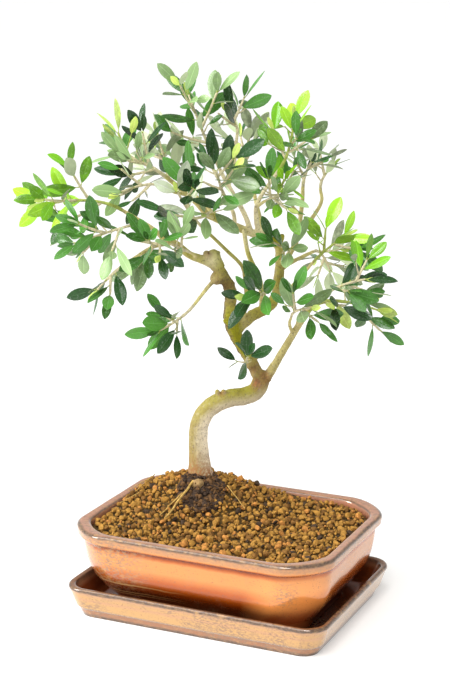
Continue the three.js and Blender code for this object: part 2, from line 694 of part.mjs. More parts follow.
const tree = new THREE.Group();
tree.position.copy(TREE_FOOT);
tree.rotation.z = TREE_TURN;
for (const [name, solid] of Object.entries(makeLimbs())) {
  tree.add(piece(name, geometryOf(solid), name === "trunk" ? OLD_BARK : YOUNG_BARK));
}
for (const plant of growFoliage()) {
  tree.add(piece(`${plant.name}_leaves`, geometryOf(massSolid(plant)), LEAVES));
}
bonsai.add(tree);

export default bonsai;
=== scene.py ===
"""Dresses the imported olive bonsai: glazed pot and tray, clay granules, bark, twigs and leaves.

Bare sizes are millimetres, as in the part's source. Properties with a length unit are metres.
"""

import math
from types import SimpleNamespace

import bmesh
import bpy
import numpy as np
from bpy.props import FloatProperty, FloatVectorProperty, IntProperty, PointerProperty
from mathutils import Color, Matrix, Quaternion, Vector, noise


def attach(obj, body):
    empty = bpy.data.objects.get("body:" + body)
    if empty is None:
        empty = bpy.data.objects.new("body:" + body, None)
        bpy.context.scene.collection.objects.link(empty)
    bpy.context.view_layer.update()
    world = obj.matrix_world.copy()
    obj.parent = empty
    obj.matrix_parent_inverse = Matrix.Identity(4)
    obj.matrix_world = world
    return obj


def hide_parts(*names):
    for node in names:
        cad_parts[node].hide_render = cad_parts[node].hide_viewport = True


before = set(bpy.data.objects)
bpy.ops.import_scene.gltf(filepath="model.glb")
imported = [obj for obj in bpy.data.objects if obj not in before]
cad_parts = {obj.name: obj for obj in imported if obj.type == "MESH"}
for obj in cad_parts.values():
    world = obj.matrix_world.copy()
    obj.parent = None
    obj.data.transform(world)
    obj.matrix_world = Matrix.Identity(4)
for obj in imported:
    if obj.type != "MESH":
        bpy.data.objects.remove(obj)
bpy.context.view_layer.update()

bl_info = {
    "name": "Olive bonsai",
    "version": (1, 0, 0),
    "blender": (4, 5, 0),
    "location": "View3D > Sidebar > Bonsai",
    "description": "Dresses a packed olive bonsai with glaze, clay granules, bark, twigs and leaves",
    "category": "Object",
}

MM = 0.001
UP = np.array([0.0, 0.0, 1.0])
TO_BACK = np.array([0.0, 1.0, 0.0])

# The source's own row of random numbers, and how far apart the noise of two seeds lies.
DRAW_SEED = 40503
DRAW_STEP = 1664525
DRAW_SHIFT = 1013904223
DRAW_RANGE = 2**32
NOISE_SHIFT = (17.3, 5.7, 11.1)

# Pot: outside sizes at the rim, the cut of its corners, and its profile from the foot over the rim to the
# inside. Each corner of a profile has its height, how far it lies inside the rim's edge, and its rounding.
POT_LENGTH = 203
POT_WIDTH = 166
POT_MIDDLE = np.array([-1.5, 3])
POT_CORNER = 34
POT_CORNER_PULL = 0.43
POT_CORNER_STEPS = 16
POT_PROFILE = [
    (6.3, 24, 0.5), (13.3, 23, 0.6), (14.3, 20.5, 1.5), (21, 15, 5), (29, 9.5, 5), (39, 6, 5), (50, 4.4, 5),
    (58.2, 3.8, 0.6), (60.5, 0.6, 0.9), (66.3, 0, 1.4), (68, 1.8, 1.2), (67.6, 7, 1.2), (66, 8.4, 1.2),
    (58, 9.2, 4), (40, 12, 5), (26, 19, 5), (15, 27, 1),
]

# Drip tray: outside sizes at its rim, the radius of its corners, and its profile.
TRAY_LENGTH = 205
TRAY_WIDTH = 159
TRAY_CORNER = 17
TRAY_CORNER_LEAST = 6
TRAY_CORNER_STEPS = 12
TRAY_PROFILE = [
    (0, 9.5, 0.8), (6.5, 7, 0.8), (7.5, 5.4, 1), (19.5, 1.4, 3), (22.6, 0, 1.2), (24.4, 1.4, 0.9),
    (23.8, 4.6, 1), (20, 6, 2), (9, 10.5, 2), (6, 14, 2),
]

# Skins of pot and tray: steps round a profile's corner and along it, the straights that are cut into pieces,
# and the waves of the glazed wall, which are full at a height above the ground.
PROFILE_CORNER_STEPS = 5
PROFILE_STEP = 1.6
STRAIGHT_LEAST = 20
STRAIGHT_PIECES = 40
WOBBLE_WAVE = (24, 0, 1)
WOBBLE_HEIGHT = 12

# Glaze of the pot and of the tray. Bands and dust are counted along the profile: from which of its corners,
# how far beyond it, and the colour or amount. A corner of 5.5 is halfway between two. Golden lines of painted
# reflection are counted alike. Clouds are a pattern of spots. Patches and warm places have a middle and a
# reach, and warm ones a share; the warm place is painted light. The pot's bands darken under the rim's step,
# low on the body and at the foot: partly the glaze's own colour, partly painted shade. The dark glaze inside
# the tray is painted shade.
POT_GLAZE = SimpleNamespace(
    bands=[
        (0, 0, "char"), (1, 0, "char"), (2, 0.5, "peach"), (2, 2.5, "char"), (3, 0, "char"), (4, 0, "burnt_and_shade"),
        (5, -1, "copper"), (5.5, 1, "peach"), (7, -4, "peach"), (7, -1.6, "copper"), (7, 0.6, "burnt_and_shade"),
        (8, -0.8, "copper"), (8, 1, "peach"), (8, 2.4, "lip"), (9, -1.2, "lip"), (9, 0.2, "edge"),
        (10, -0.6, "edge"), (10, 0.8, "rim"), (11, -0.4, "rim"), (11, 1, "edge"), (12, 0.4, "rim"),
        (13, 0, "copper"), (16, 0, "burnt_and_shade"),
    ],
    dust=[(8, 0, 0), (8, 2, 0.5), (9, 0, 0.5), (10, 0, 0.7), (11, 0, 0.7), (12, 0, 0)],
    clouds=(30, 0.66, 0.85, 3, 1),
    patches=[((-72, -80, 54), 48), ((74, -78, 42), 16)],
    lines=[(3, 1), (3, 3.4), (4, 2)],
    # Painted light: the pot's lower front corner is made a light orange where light reflected from the tray
    # falls on it.
    warm=[((84, -72, 18), 48, 0.92)],
)
TRAY_GLAZE = SimpleNamespace(
    bands=[
        (0, 0, "edge"), (0, 1.6, "edge"), (0, 3.2, "rose"), (1, -1, "rose"), (1, 0.5, "mauve"),
        (2, 1.2, "honey"), (2, 6, "honey"), (3, -3.5, "warm"), (3, -1, "honey"), (4, -1.4, "warm"),
        (4, -0.3, "edge"), (5, -0.4, "edge"), (5, 0.7, "ledge"), (6, -0.7, "ledge"), (6, 0.4, "edge"),
        # Inside the tray the dark glaze is painted shade of the pot over it.
        (7, 0, "rose"), (7, 3, "inside"), (9, 0, "inside"),
    ],
    dust=[(0, 0, 0.4), (1, 0, 0.4), (2, 0, 0), (3, 0, 0.25), (4, 0, 0.5), (6, 0, 0.3), (7, 0, 0)],
    clouds=(30, 0.46, 0.58, 3, 1),
    patches=[],
    lines=[],
    warm=[],
)

# A patch is full within this part of its reach.
PATCH_CORE = 1 / 3

# Golden lines low on the pot's left are painted reflections of the tray's rim: the middle and reach of the
# place where they show, and their half width.
PAINTED_REFLECTION_PATCH = ((-76, -70, 24), 74)
PAINTED_REFLECTION_HALF = 0.9

# How the bands of glaze sway: the length and noise of their waves, and how far they drift.
SWAY_LENGTH = 18
SWAY_NOISE = {"Scale": 1 / (SWAY_LENGTH * MM), "Detail": 5, "Roughness": 0.65}
SWAY_DRIFT = 1.6

# Specks of the glaze are drawn out sideways. The glaze at the pot's foot, partly painted shade, and flecks
# are darker than what they come from.
SPECK_STRETCH = (1, 1, 2)
CHAR_AND_SHADE_TONE = 0.55
FLECK_TONE = 0.5

# Patterns of soft spots: how far apart they are, the levels of the noise where they start and are full, the
# noise's detail, and how strong they get.
SPOT_ROUGHNESS = 0.6
GLAZE_TINGE = (14, 0.55, 0.8, 4, 0.2)
GOLD_SPECKS = (5, 0.5, 0.64, 4, 0.6)
DULL_SPECKS = (2.4, 0.46, 0.58, 4, 0.75)
GLAZE_FLECKS = (1.1, 0.66, 0.72, 1, 0.6)
CLAY_GRAIN = (5.5, 0.35, 0.65, 3, 1)
CLAY_DUST = (1.1, 0.5, 0.7, 3, 1)
PALE_FLECKS = (2.6, 0.52, 0.68, 4, 0.3)
BROWN_PATCHES = (9, 0.45, 0.7, 4, 0.28)
DARK_SPECKS = (1.3, 0.56, 0.66, 4, 0.6)
BARK_CRACKS = (2.6, 0.46, 0.6, 4, 0.9)
BARK_STAINS = (2, 0.3, 0.56, 4, 1)
LEAF_MOTTLE = (5, 0.45, 0.7, 3, 0.4)
LEAF_BLOOM = (1.5, 0.58, 0.68, 2, 0.4)

# Fine relief: how far apart its humps are, how deep, and how strong.
RELIEF_DETAIL = 4
CLAY_RELIEF = (0.7, 0.25, 0.5)
BARK_RELIEF = (1, 0.5, 0.8)
LEAF_RELIEF = (1.1, 0.3, 0.7)

# Sheens: roughness, and how much light the surface throws back.
GLAZE_SHEEN = (0.17, 0.4)
CLAY_SHEEN = (0.92, 0.25)
BARK_SHEEN = (0.78, 0.3)
UPPER_SHEEN = (0.22, 0.42)
UNDER_SHEEN = (0.75, 0.2)
YOUNG_UNDER_SHEEN = (0.6, 0.25)
RIB_SHEEN = (0.5, 0.3)
PAPER_SHEEN = (0.9, 0.2)
GLAZE_COAT = {"Metallic": 0.2, "IOR": 1.52, "Coat Weight": 0.5, "Coat Roughness": 0.04}

# Sockets of the node that lays one colour over another by a mask, and of its result.
MIX_MASK = 0
MIX_BELOW = 6
MIX_ABOVE = 7
MIX_RESULT = 2

# Thin bark and dry roots: the sheen, the pattern of flecks, and how dark those are.
TWIG_LOOK = ((0.7, 0.3), (2.2, 0.4, 0.65, 3, 1), 0.62)
STRAW_LOOK = ((0.85, 0.3), (3, 0.4, 0.6, 3, 1), 0.6)

# How much darker and lighter than their plain colour clay, cracked bark and leaves get. The bloom on a leaf
# is a share of its light colour, raised by a little. Its rib is its colour, raised alike.
CLAY_DARK = 0.55
CLAY_LIGHT = 1.45
CRACK_DARK = 0.4
LEAF_DARKEST = 0.46
LEAF_BRIGHTEST = 1.85
LEAF_LIGHT = 1.6
BLOOM_TONE = (0.6, 0.16)
RIB_TONE = (1.25, 0.01)
YOUNG_UNDER_TONE = 0.9

# Soil: its level at the pot's wall, the mound that the trunk stands on, and the small heaps that its granules
# lie in: how far apart they are, how high, how far their rows sway, and the level ground at the trunk's foot.
# The bed of fine soil lies a little lower than the granules' tops.
SOIL_EDGE = 64
SOIL_EDGE_INSET = 9.5
SOIL_MOUND = 19.5
SOIL_MOUND_SPREAD = 46
HEAP_SPACING = 15
HEAP_RISE = 1.5
HEAP_SWAY = 2.4
HEAP_SWAY_LENGTH = 11
HEAP_FREE = 12
SOIL_WALL = [(15.3, 27.3), (26.3, 19.3), (40.3, 12.3), (58.3, 9.5)]
SOIL_RINGS = [1, 0.86, 0.72, 0.6, 0.48, 0.38, 0.28, 0.2, 0.12, 0.05]
SOIL_BED_DROP = 2

# Granules: the share of each kind, their shapes and the flats broken off them, their proportions, and how
# they are strewn: the gap to the wall, how few are large, how close they lie, and how unevenly.
GRAIN_KINDS = {"ochre": 0.6, "tan": 0.12, "brown": 0.23, "dark": 0.05}
GRAIN_SHAPES = 18
GRAIN_DETAIL = 2
GRAIN_BUMPS = 0.08
GRAIN_FLATS = 9
GRAIN_FLAT_AT = (0.55, 0.8)
GRAIN_SLIMMEST = (1, 0.82, 0.7)
GRAIN_FULLEST = (1.12, 1, 0.92)
GRAIN_WALL = 2.2
GRAIN_TRIES = 34000
GRAIN_FEW_LARGE = 11
GRAIN_OVERLAP = 0.82
GRAIN_RISE = -0.12
GRAIN_UNEVEN = 0.9

# Granules on the steep edge of the heap, where it stands higher than the pot's rim behind the trunk.
EDGE_FOOT = 66
EDGE_INSET = 0.9
EDGE_STEP = 3.2
EDGE_WIDTH = (3.4, 5.2)
EDGE_SWAY = 0.7

# The dark root ball in front of the trunk, in the tree's axes: its middle, reach and uneven edge, how it
# rises from its skirt to a flat top, its lumps (how far apart, a seed, how high), and the crumbs on it.
BALL_MIDDLE = (1, -22)
BALL_REACH = (18, 27)
BALL_EDGE = 0.22
BALL_EDGE_LENGTH = 7
BALL_EDGE_SHIFT = 0.6
BALL_RISE = 1.6
BALL_FLATNESS = 6
BALL_SHARES = (1.08, 0.05)
BALL_SKIRT = 4
BALL_RINGS = 26
BALL_SIDES = 72
BALL_LUMPS = [(6, 0, 2), (2.4, 2, 1.2)]
CRUMBS = 210
CRUMB_REACH = 1.05
CRUMB_WIDTH = (1.6, 5)
CRUMB_LIFT = (-0.8, 1.8)
CRUMB_SEED = 31

# Dry roots that lie on the soil: their ends in the tree's axes, how high each end lies, and their thickness.
STRAWS = [
    ((-5, -21), (-24, -63), 4, 3.6, 2),
    ((-13, -31), (-29, -56), 3.4, 2.8, 1.1),
    ((21, -18), (34.5, -42), 2.6, 3, 0.8),
    ((-36, 20), (-50, -8), 3, 3, 0.7),
    ((-40, 14), (-56, -6), 3, 3, 0.7),
    ((-47, -16), (-60, -27), 3, 3, 0.7),
]
STRAW_TAPER = 0.7
STRAW_SWAY = 0.5
STRAW_SIDES = 8
ROOT_RINGS = 9

# Fibres over the root ball: how far from its middle they start, how high they lie, their bends and thickness.
FIBRES = 14
FIBRE_SEED = 3
FIBRE_ACROSS = (-9, 9)
FIBRE_DEEP = (-12, 16)
FIBRE_LIFT = (0.3, 1.6)
FIBRE_BEND = (-0.5, 0.5)
FIBRE_STEP = 2
FIBRE_RADII = (0.28, 0.16)
FIBRE_SIDES = 5

# The root that was cut: its foot, where it points, and its rings, each with how far along it lies and the
# share of its radius. The last two are the rim and bottom of its hole.
CUT_ROOT = (-1.4, -20)
CUT_ROOT_LIFT = 1
CUT_ROOT_AHEAD = np.array([-0.35, -0.8, 0.45])
CUT_ROOT_RADIUS = 3.4
CUT_ROOT_RINGS = [(0, 1.4), (3, 1.15), (4.6, 0.95), (5.4, 0.6), (5.2, 0.8 / 3.4), (4, 0.56 / 3.4)]
CUT_ROOT_SIDES = 18
CUT_ROOT_LUMPS = (3, 4, 1)

# The tree's own axes: x across its front, y to its back, z up from the trunk's foot.
CLEARANCE = 0.3
TREE_FOOT = np.array([-44, 40, SOIL_EDGE + SOIL_MOUND + CLEARANCE])
TREE_TURN = math.radians(23.5)
TREE_AXES = np.array([
    (math.cos(TREE_TURN), -math.sin(TREE_TURN), 0),
    (math.sin(TREE_TURN), math.cos(TREE_TURN), 0),
    (0, 0, 1),
])
ROOT_FLARE = 3
ROOT_FLARE_HEIGHT = 7

# Limbs, in the order they grow: thickness at foot and tip, and the points that their line bends through.
LIMBS = {
    "trunk": (14.6, 13.6, [
        (0, 0, 0), (-1.5, 0, 19), (-1.7, -1, 36), (2.4, -2, 49), (12, -1, 57.5), (23, 2, 61), (34, 5, 62),
        (42.5, 7, 66), (46.6, 8, 75)]),
    "leader": (9.8, 8.6, [
        (46.6, 8, 72), (37, 6, 91), (28, 3, 106.5), (22, 0, 121), (21.3, -3, 134), (22, -6, 145),
        (17, -9, 157), (7, -11, 171)]),
    "right_bough": (7, 4.6, [(47.5, 8, 70), (53.5, 4, 82), (62, -3, 100), (72, -11, 120), (79.5, -17, 134)]),
    "left_bough": (7.2, 4.8, [
        (10, -10.5, 167), (1, -14, 171.5), (-9, -18, 176), (-19, -24, 185), (-28.5, -28, 190)]),
    "left_high_bough": (3.8, 2.8, [(-28, -28, 189.5), (-37, -32, 198.5), (-58, -42, 213)]),
    "left_low_bough": (3.4, 2.6, [(-22, -25, 186), (-36, -38, 185), (-54.5, -50, 175)]),
    "left_mid_spur": (2.8, 2.2, [(-39, -33, 200), (-45, -42, 203), (-50, -49, 203)]),
    "left_inner_spur": (3, 2.4, [(-15, -21.5, 181.5), (-20, -31, 187), (-27, -40, 190)]),
    "droop_bough": (3.6, 2.6, [(16, -9, 158.5), (7.5, -15, 154.5), (-6, -25, 139)]),
    "back_bough": (8.6, 7.6, [
        (25, 1.5, 113), (38, 10, 124), (50.5, 18, 129), (57.5, 24, 140), (59, 28, 155), (59.5, 30, 167)]),
    "arch_bough": (7.6, 5.6, [
        (59.5, 30, 165), (58.5, 30, 174), (52, 29, 179.5), (42, 26, 183.5), (15, 18, 195.5), (1.5, 14, 202)]),
    "upper_left_bough": (5, 3.4, [(2.5, 14.2, 201.5), (-8, 8, 214), (-28, -2, 232)]),
    "upper_left_spur": (3, 2.4, [(-11, 6.5, 217), (-21, -6, 221), (-31, -16, 227)]),
    "mid_stem": (3.8, 2.6, [
        (30, 5, 118), (33.5, 1, 138), (32.5, -1, 152), (30, -4, 165), (19, -7, 177), (0.5, -10, 195)]),
    "upright_left": (4.4, 2.6, [(37, 24, 185.5), (31, 18, 202), (17, 6, 228), (10, 2, 242)]),
    "top_mid_bough": (3, 2.4, [(19, 8, 224), (23, 9, 241), (25, 4, 264)]),
    "upright_right": (4.6, 2.8, [(43.5, 26, 182.5), (40.5, 22, 197), (42, 18, 212), (57.5, 10, 237.5)]),
    "upper_right_bough": (4.8, 3, [
        (58.5, 28, 154), (67, 34, 168.5), (72.5, 38, 179.5), (76, 45, 205), (76.5, 48, 218.5)]),
    "right_fork_bough": (3.8, 2.6, [(72.5, 38.5, 181), (80.5, 44, 189.5), (91, 52, 205), (90.5, 56, 216)]),
    "right_inner_spur": (3, 2.4, [(59, 30, 160), (63, 18, 168), (65, 8, 174)]),
    "right_thin_bough": (3.4, 2.4, [(57, 23.5, 138), (67, 18, 144.5), (84.5, 8, 167.5)]),
    "right_mid_bough": (3.4, 2.6, [(71.5, -11, 119), (75, -22, 133), (92, -30, 150)]),
    "front_spur": (3.4, 2.8, [(48, 17, 128.5), (47, 2, 137), (47, -9, 144)]),
    "low_spur": (2.8, 2.2, [(37, 6, 91), (37, -4, 92), (35, -12, 93)]),
    "centre_spur": (3.6, 2.6, [(24, 20.5, 191.5), (23, 9, 203), (16, -12, 220)]),
    "inner_right_spur": (3, 2.2, [(75, 43.5, 197), (69, 35, 204), (65, 28, 211)]),
    "back_left_bough": (4.4, 2.8, [(17, 18.5, 194.5), (6, 30, 201), (-14, 46, 218)]),
    "back_mid_bough": (4.4, 2.8, [(48, 27.5, 181.5), (44, 40, 193), (36, 55, 223)]),
    "back_right_bough": (4.2, 2.8, [(59, 28, 156), (68, 40, 160), (86, 56, 166)]),
    "arch_spur": (2.8, 2.2, [(8, 16, 198.7), (6, 6, 201), (4, -4, 203)]),
    "left_fore_spur": (2.8, 2.2, [(-4, -16, 173.7), (-6, -26, 178), (-9, -34, 181)]),
    "right_fore_spur": (2.8, 2.2, [(69, -8.8, 114.5), (66, -17, 124), (67, -25, 132)]),
    "centre_right_spur": (2.8, 2.2, [(41.2, 19.5, 207), (45, 8, 212), (48, 0, 215)]),
}

# Spurs that are one piece with the limb they grow on.
JOINED_SPURS = ("arch_spur", "left_fore_spur", "right_fore_spur", "centre_right_spur")

# Masses of foliage: the limb whose tip each grows from, where its stem ends, how many side shoots it has, the
# turn of the first out of the front plane, the length of its leaves and its own seed.
MASSES = {
    "left_tip": ("left_high_bough", (-114, -50, 218), 4, 0, 25, 151),
    "left_mid": ("left_mid_spur", (-90, -60, 191), 5, 60, 25, 327),
    "left_inner": ("left_inner_spur", (-38, -54, 183), 4, 20, 27, 387),
    "left_low": ("left_low_bough", (-74, -60, 158), 1, 20, 25, 160),
    "left_droop": ("droop_bough", (-30, -38, 123), 1, 45, 28, 308),
    "upper_left": ("upper_left_bough", (-61, -10, 249), 5, 0, 26, 92),
    "upper_left_low": ("upper_left_spur", (-59, -28, 224), 3, 0, 26, 276),
    "upper_left_inner": ("mid_stem", (-18, -26, 224), 3, 30, 28, 107),
    "top_left": ("upright_left", (-11, 0, 292), 3, 0, 26, 290),
    "top_mid": ("top_mid_bough", (20, 2, 278), 2, 0, 27, 81),
    "top_right": ("upright_right", (66, 4, 266), 4, 0, 25, 172),
    "centre": ("centre_spur", (10, -28, 240), 5, 0, 28, 138),
    "inner_right": ("inner_right_spur", (56, 18, 226), 3, 0, 22, 405),
    "right_top": ("upper_right_bough", (82, 42, 238), 2, 0, 20, 147),
    "right_edge": ("right_fork_bough", (100, 58, 234), 1, 0, 18, 218),
    "right_bright": ("right_thin_bough", (106, 4, 187), 2, 0, 27, 338),
    "right_inner": ("right_inner_spur", (66, -4, 179), 1, 0, 28, 481),
    "right_mid": ("right_mid_bough", (120, -32, 162), 4, 90, 26, 374),
    "right_low": ("right_bough", (130, -26, 138), 3, 90, 25, 487),
    "front": ("front_spur", (45, -24, 150), 1, 0, 30, 292),
    "low": ("low_spur", (35, -27, 101), 0, 0, 27, 349),
    "back_left": ("back_left_bough", (-38, 64, 243), 4, 45, 26, 27),
    "back_mid": ("back_mid_bough", (28, 66, 254), 4, 45, 26, 28),
    "back_right": ("back_right_bough", (100, 64, 150), 4, 45, 26, 29),
    "arch": ("arch_spur", (2, -24, 208), 2, 0, 27, 471),
    "left_fore": ("left_fore_spur", (-22, -50, 190), 3, 0, 27, 17),
    "right_fore": ("right_fore_spur", (80, -42, 142), 2, 0, 27, 98),
    "centre_right": ("centre_right_spur", (58, -12, 220), 3, 0, 26, 78),
}

# Kinds of leaf, and the sprays whose kind is known: the mass, and which of its shoots carry it, the stem
# being number 0. The rest are dealt out by the shares of deep and plain green sprays, then grey, and of pale
# buds.
LEAF_KINDS = ("deep", "green", "grey", "silver", "fresh", "young", "pale")
YOUNG_KINDS = ("young", "pale")
KNOWN_SPRAYS = {
    "left_tip": {0: "young", 2: "fresh", 3: "fresh", 4: "fresh"},
    "upper_left": {0: "grey", 5: "pale"},
    "upper_left_inner": {0: "silver"},
    "top_right": {0: "young", 1: "fresh", 4: "young"},
    "inner_right": {0: "fresh", 3: "young"},
    "centre_right": {2: "fresh"},
    "right_bright": {0: "young", 1: "young"},
    "right_mid": {4: "fresh"},
    "right_low": {0: "pale"},
    "left_droop": {0: "green", 1: "deep"},
    "front": {0: "green", 1: "deep"},
    "low": {0: "deep"},
}
KIND_SEED = 900
DEEP_SHARE = 0.32
GREEN_SHARE = 0.4
PALE_BUDS = 0.4

# How shoots grow: thicknesses, where side shoots leave a stem, how they lean, and their length.
TWIG_TIP = 1.5
STEM_SHARE = 0.92
STEM_REACH = 0.4
SHOOT_THICK = 2.2
SHOOT_FIRST = 0.25
SHOOT_LAST = 0.9
SHOOT_SWING = (-22, 22)
SHOOT_LEAN = (42, 58)
SHOOT_SHARE = (0.45, 0.65)
SHOOT_LENGTH = (16, 32)
SHOOT_REACH = 0.5
SHOOT_RISE = 0.1

# How leaves grow: in opposite pairs, each pair square to the last, closer to the shoot at its tip. The first
# pair of a side shoot stands aslant to the stem.
STEM_PAIRS = 4
SHOOT_PAIRS = 3
FIRST_PAIR_TURN = 45
INTERNODE = 8
LEAFY_SHARE = 0.7
TIP_INSET = 0.015
LEAF_SWING = (-18, 18)
LEAF_LEAN = (30, 60)
LEAF_LEAN_SWING = (-9, 9)
LEAF_OPEN_PAIR = 2
LEAF_ROLL = (-60, 60)
LEAF_SPREAD = (0.82, 1.18)
TIP_LEAF = 0.88
LEAF_ASPECT = 0.37

# Leaves turn to the light, which reaches the front of the crown from the front and the back from behind, and
# a little towards the tip of their shoot.
LIGHT_SIDE = 0.8
LIGHT_ABOVE = 0.55
LIGHT_MIDDLE = 34
LIGHT_SPREAD = 26
TIP_PULL = 0.35

# Growth is stood for by balls: how far apart they lie along a shoot, how much of a shoot's foot is left out,
# and where they lie on a leaf, in shares of its length and half width.
BALL_STEP = 1.5
STEM_FOOT = 0.06
SHOOT_FOOT = 0.2
GROWTH_GAP = 2 * CLEARANCE
LEAF_BALL = 0.3
LEAF_BALLS = np.array([
    (0.3, 0), (0.46, 0.45), (0.46, -0.45), (0.62, 0), (0.62, 0.62), (0.62, -0.62), (0.8, 0.3), (0.8, -0.3),
    (0.97, 0),
])

# Finer twigs than the solids have: their spacing on a shoot, length, thickness and the size of their leaves.
FINE_SPACING = 11
FINE_FIRST = 0.3
FINE_LENGTH = (7, 12)
FINE_LEAN = (40, 65)
FINE_THICK = 1.2
FINE_TIP = 0.8
FINE_TURN = 137.5
FINE_LEAF = 0.72
FINE_SEED = 500
BUD_LEAF = 0.5
BUD_LEAN = 14

# Knobs, stubs and swellings of the wood: where each starts and ends in the tree's axes, and its thickness.
KNOBS = [
    ((12, -10, 165), (8.4, -11.5, 174.4), 10.4, 10),
    ((8.5, -12, 172), (3.6, -15, 176), 6.6, 5.8),
    ((9.6, -10.5, 172), (12.2, -10.5, 176.6), 5.4, 3),
    ((15, -10, 158.5), (11, -12.5, 157.6), 11, 10),
    ((58.5, 29.5, 177), (60.5, 27, 183), 5.5, 4.2),
    ((13, -2, 63), (12.3, -3, 67.2), 5, 3.6),
    ((17, -2, 63.6), (17.2, -3, 67.6), 5, 3.4),
    ((45, 6, 74), (41.5, 2.5, 79.5), 8, 5),
    ((50, 6, 80), (53.5, 1, 88.5), 3.4, 1.8),
    ((44, 25.5, 183), (45.5, 24, 188), 7, 5),
    ((22, -4, 121), (17.6, -5.5, 123), 7, 4),
    ((36, 5, 91), (41, 4, 93), 8, 5),
]
KNOB_RINGS = 6
INNER_STEM = (4.5, 3.4, [(46, 14, 131), (43.8, 8, 151.7), (39, 8, 162.4), (34, 10, 174), (31, 16, 190)])
INNER_STEM_RINGS = 40

# The limbs' tubes before they are welded: how far the trunk goes into the soil and widens there, their steps
# and sides, the dome that ends each (how far on and how wide, by the last radius), and the smoothing.
TRUNK_SUNK = 6
TRUNK_SUNK_FLARE = 1.2
LIMB_SIDES = 18
LIMB_RINGS_LEAST = 6
WOOD_STEP = 1.2
DOME = [(0.5, 0.87), (0.87, 0.5), (0.98, 0.15)]
SMOOTH_PASSES = 5
SMOOTH_FACTOR = 0.5

# How each limb's bark looks: how rough it is, how green, how pale, and the shares along it where the green
# starts and is full. The green is laid on the side that faces a set direction: partly the bark's own green,
# partly painted light and shade. Limbs not named here have the plain values.
ROUGHNESS = {"trunk": 0.08, "leader": 0.85, "back_bough": 0.6, "arch_bough": 0.12, "left_bough": 0.12}
PLAIN_ROUGHNESS = 0.08
GREEN_AND_PAINTED_LIGHT = {
    "trunk": 0.72, "leader": 1.6, "back_bough": 0.7, "arch_bough": 0.95, "left_bough": 0.75, "mid_stem": 0.7,
}
PLAIN_GREEN_AND_PAINTED_LIGHT = 0.25
PALENESS = {"upright_left": 0.6, "upright_right": 0.6, "top_mid_bough": 0.45, "centre_spur": 0.4}
GREEN_AND_LIGHT_STARTS = {"trunk": (0.23, 0.68)}
GREEN_AND_LIGHT_START = (0.05, 0.25)

# Directions of the painted light for the trunk and for the crown, how far it reaches round a limb, and how
# much smoother the bark is on the side that faces it. The green and the trunk's pale side paint light and
# shade into the bark's colour.
TRUNK_PAINTED_LIGHT = np.array([-0.55, -0.1, 0.8])
CROWN_PAINTED_LIGHT = np.array([0.45, -0.75, 0.5])
PAINTED_LIGHT_WRAP = 0.35
PAINTED_LIGHT_SMOOTHS = 0.7

# Marks along the limbs that a point of the skin takes its looks from: their step, how far their looks blend,
# and how many points are looked at together. Bark gets old between two radii, and rougher up from the foot.
MARK_STEP = 3
MARKS_LEAST = 4
MARK_BLEND = 1.5
POINTS_TOGETHER = 4000
OLD_RADII = (1.5, 5.5)
ROUGH_GAIN = 4
ROUGH_FOOT = 0.3

# Scars and rough spots: where they are in the tree's axes, how wide, how stained and how rough.
SCARS = [
    ((43, 3, 73), 5, 0.9, 0.9), ((49, 4, 77), 6, 0.6, 0.85), ((40, 4, 84), 6, 0.3, 0.85),
    ((16, -3, 66), 3, 0.5, 0.5), ((4, -16, 176.5), 3.2, 0.3, 1), ((11, -13, 157.5), 5, 0.4, 0.8),
    ((18, -9, 152), 13, 0, 1), ((21, -5, 141), 8, 0, 0.8), ((17, 0, 120), 5, 0, 0.8),
    ((33, 6, 92), 4, 0, 0.6),
]

# Pale spots where the bark has been rubbed off: where they are, how wide and how pale. Below its fork the
# trunk is pale on the side away from the painted light, a painted highlight, and it is stained at its foot.
PALE_SPOTS = [((7, -13, 172), 7, 0.5), ((9, -10, 177), 5, 0.35)]
PAINTED_HIGHLIGHT_TOP = 75
PAINTED_HIGHLIGHT_FADE = 35
PAINTED_HIGHLIGHT_SIDE = 0.5
PAINTED_HIGHLIGHT_TURN = 1.4
FOOT_STAIN = 15

# The bark's relief: ridges drawn out along a limb, and lumps, each with how far apart, a seed and how high,
# and how deep the relief is on smooth bark and on thin limbs.
RIDGE_STRETCH = 0.7
RIDGES = [(1.6, 0, 0.6), (0.9, 1, 0.36)]
LUMPS = [(5, 2, 0.7)]
SMOOTH_RELIEF = 0.2
THIN_RELIEF = 0.4

# Twigs: their sides, how far they reach into what they grow from, and how they swell where a pair of leaves
# grows. A leaf's stalk is a share of its length, and reaches a little into the blade.
TWIG_SIDES = 7
TWIG_RINGS = 14
STEM_SUNK = 1.2
SHOOT_SUNK = 0.2
NODE_SWELL = 0.22
NODE_SHARPNESS = 12
STALK_SHARE = 0.11
STALK_REACH = 1.3
STALK_WIDTHS = np.array([0.95, 0.8, 0.6])
STALK_SIDES = 5

# The blade of a leaf: rows along it, columns across it, its fold, droop, twist and thickness, and its rib.
BLADE_ROWS = 10
BLADE_COLUMNS = np.array([-1, -0.55, -0.07, 0.07, 0.55, 1])
BLADE_FOOT = 0.98
BLADE_TIP = 0.76
BLADE_WIDTH = 0.97
BLADE_NARROWEST = 0.03
BLADE_FOLD = (0.05, 0.5)
BLADE_ROLL = 0.16
BLADE_DROOP = (-0.07, 0.13)
BLADE_TWIST = (-0.25, 0.25)
BLADE_THICK = 0.34
RIB_HALF = 0.1
RIB_GROOVE = 0.12
RIB_DEPTH = 0.3
BLADE_SEED = 21

# The materials of a blade, by their number.
UPPER_SIDE = 0
UNDERSIDE = 1
RIB = 2

# Camera: its place, its turn, lift and roll in radians, its sensor's width, and the metres it sees between.
CAMERA_PLACE = (477.96, -1111.57, 493.73)
CAMERA_TURN = 0.4115
CAMERA_LIFT = 0.2336
CAMERA_ROLL = 0.0124
SENSOR_WIDTH = 36
CLIP_START = 0.01
CLIP_END = 100

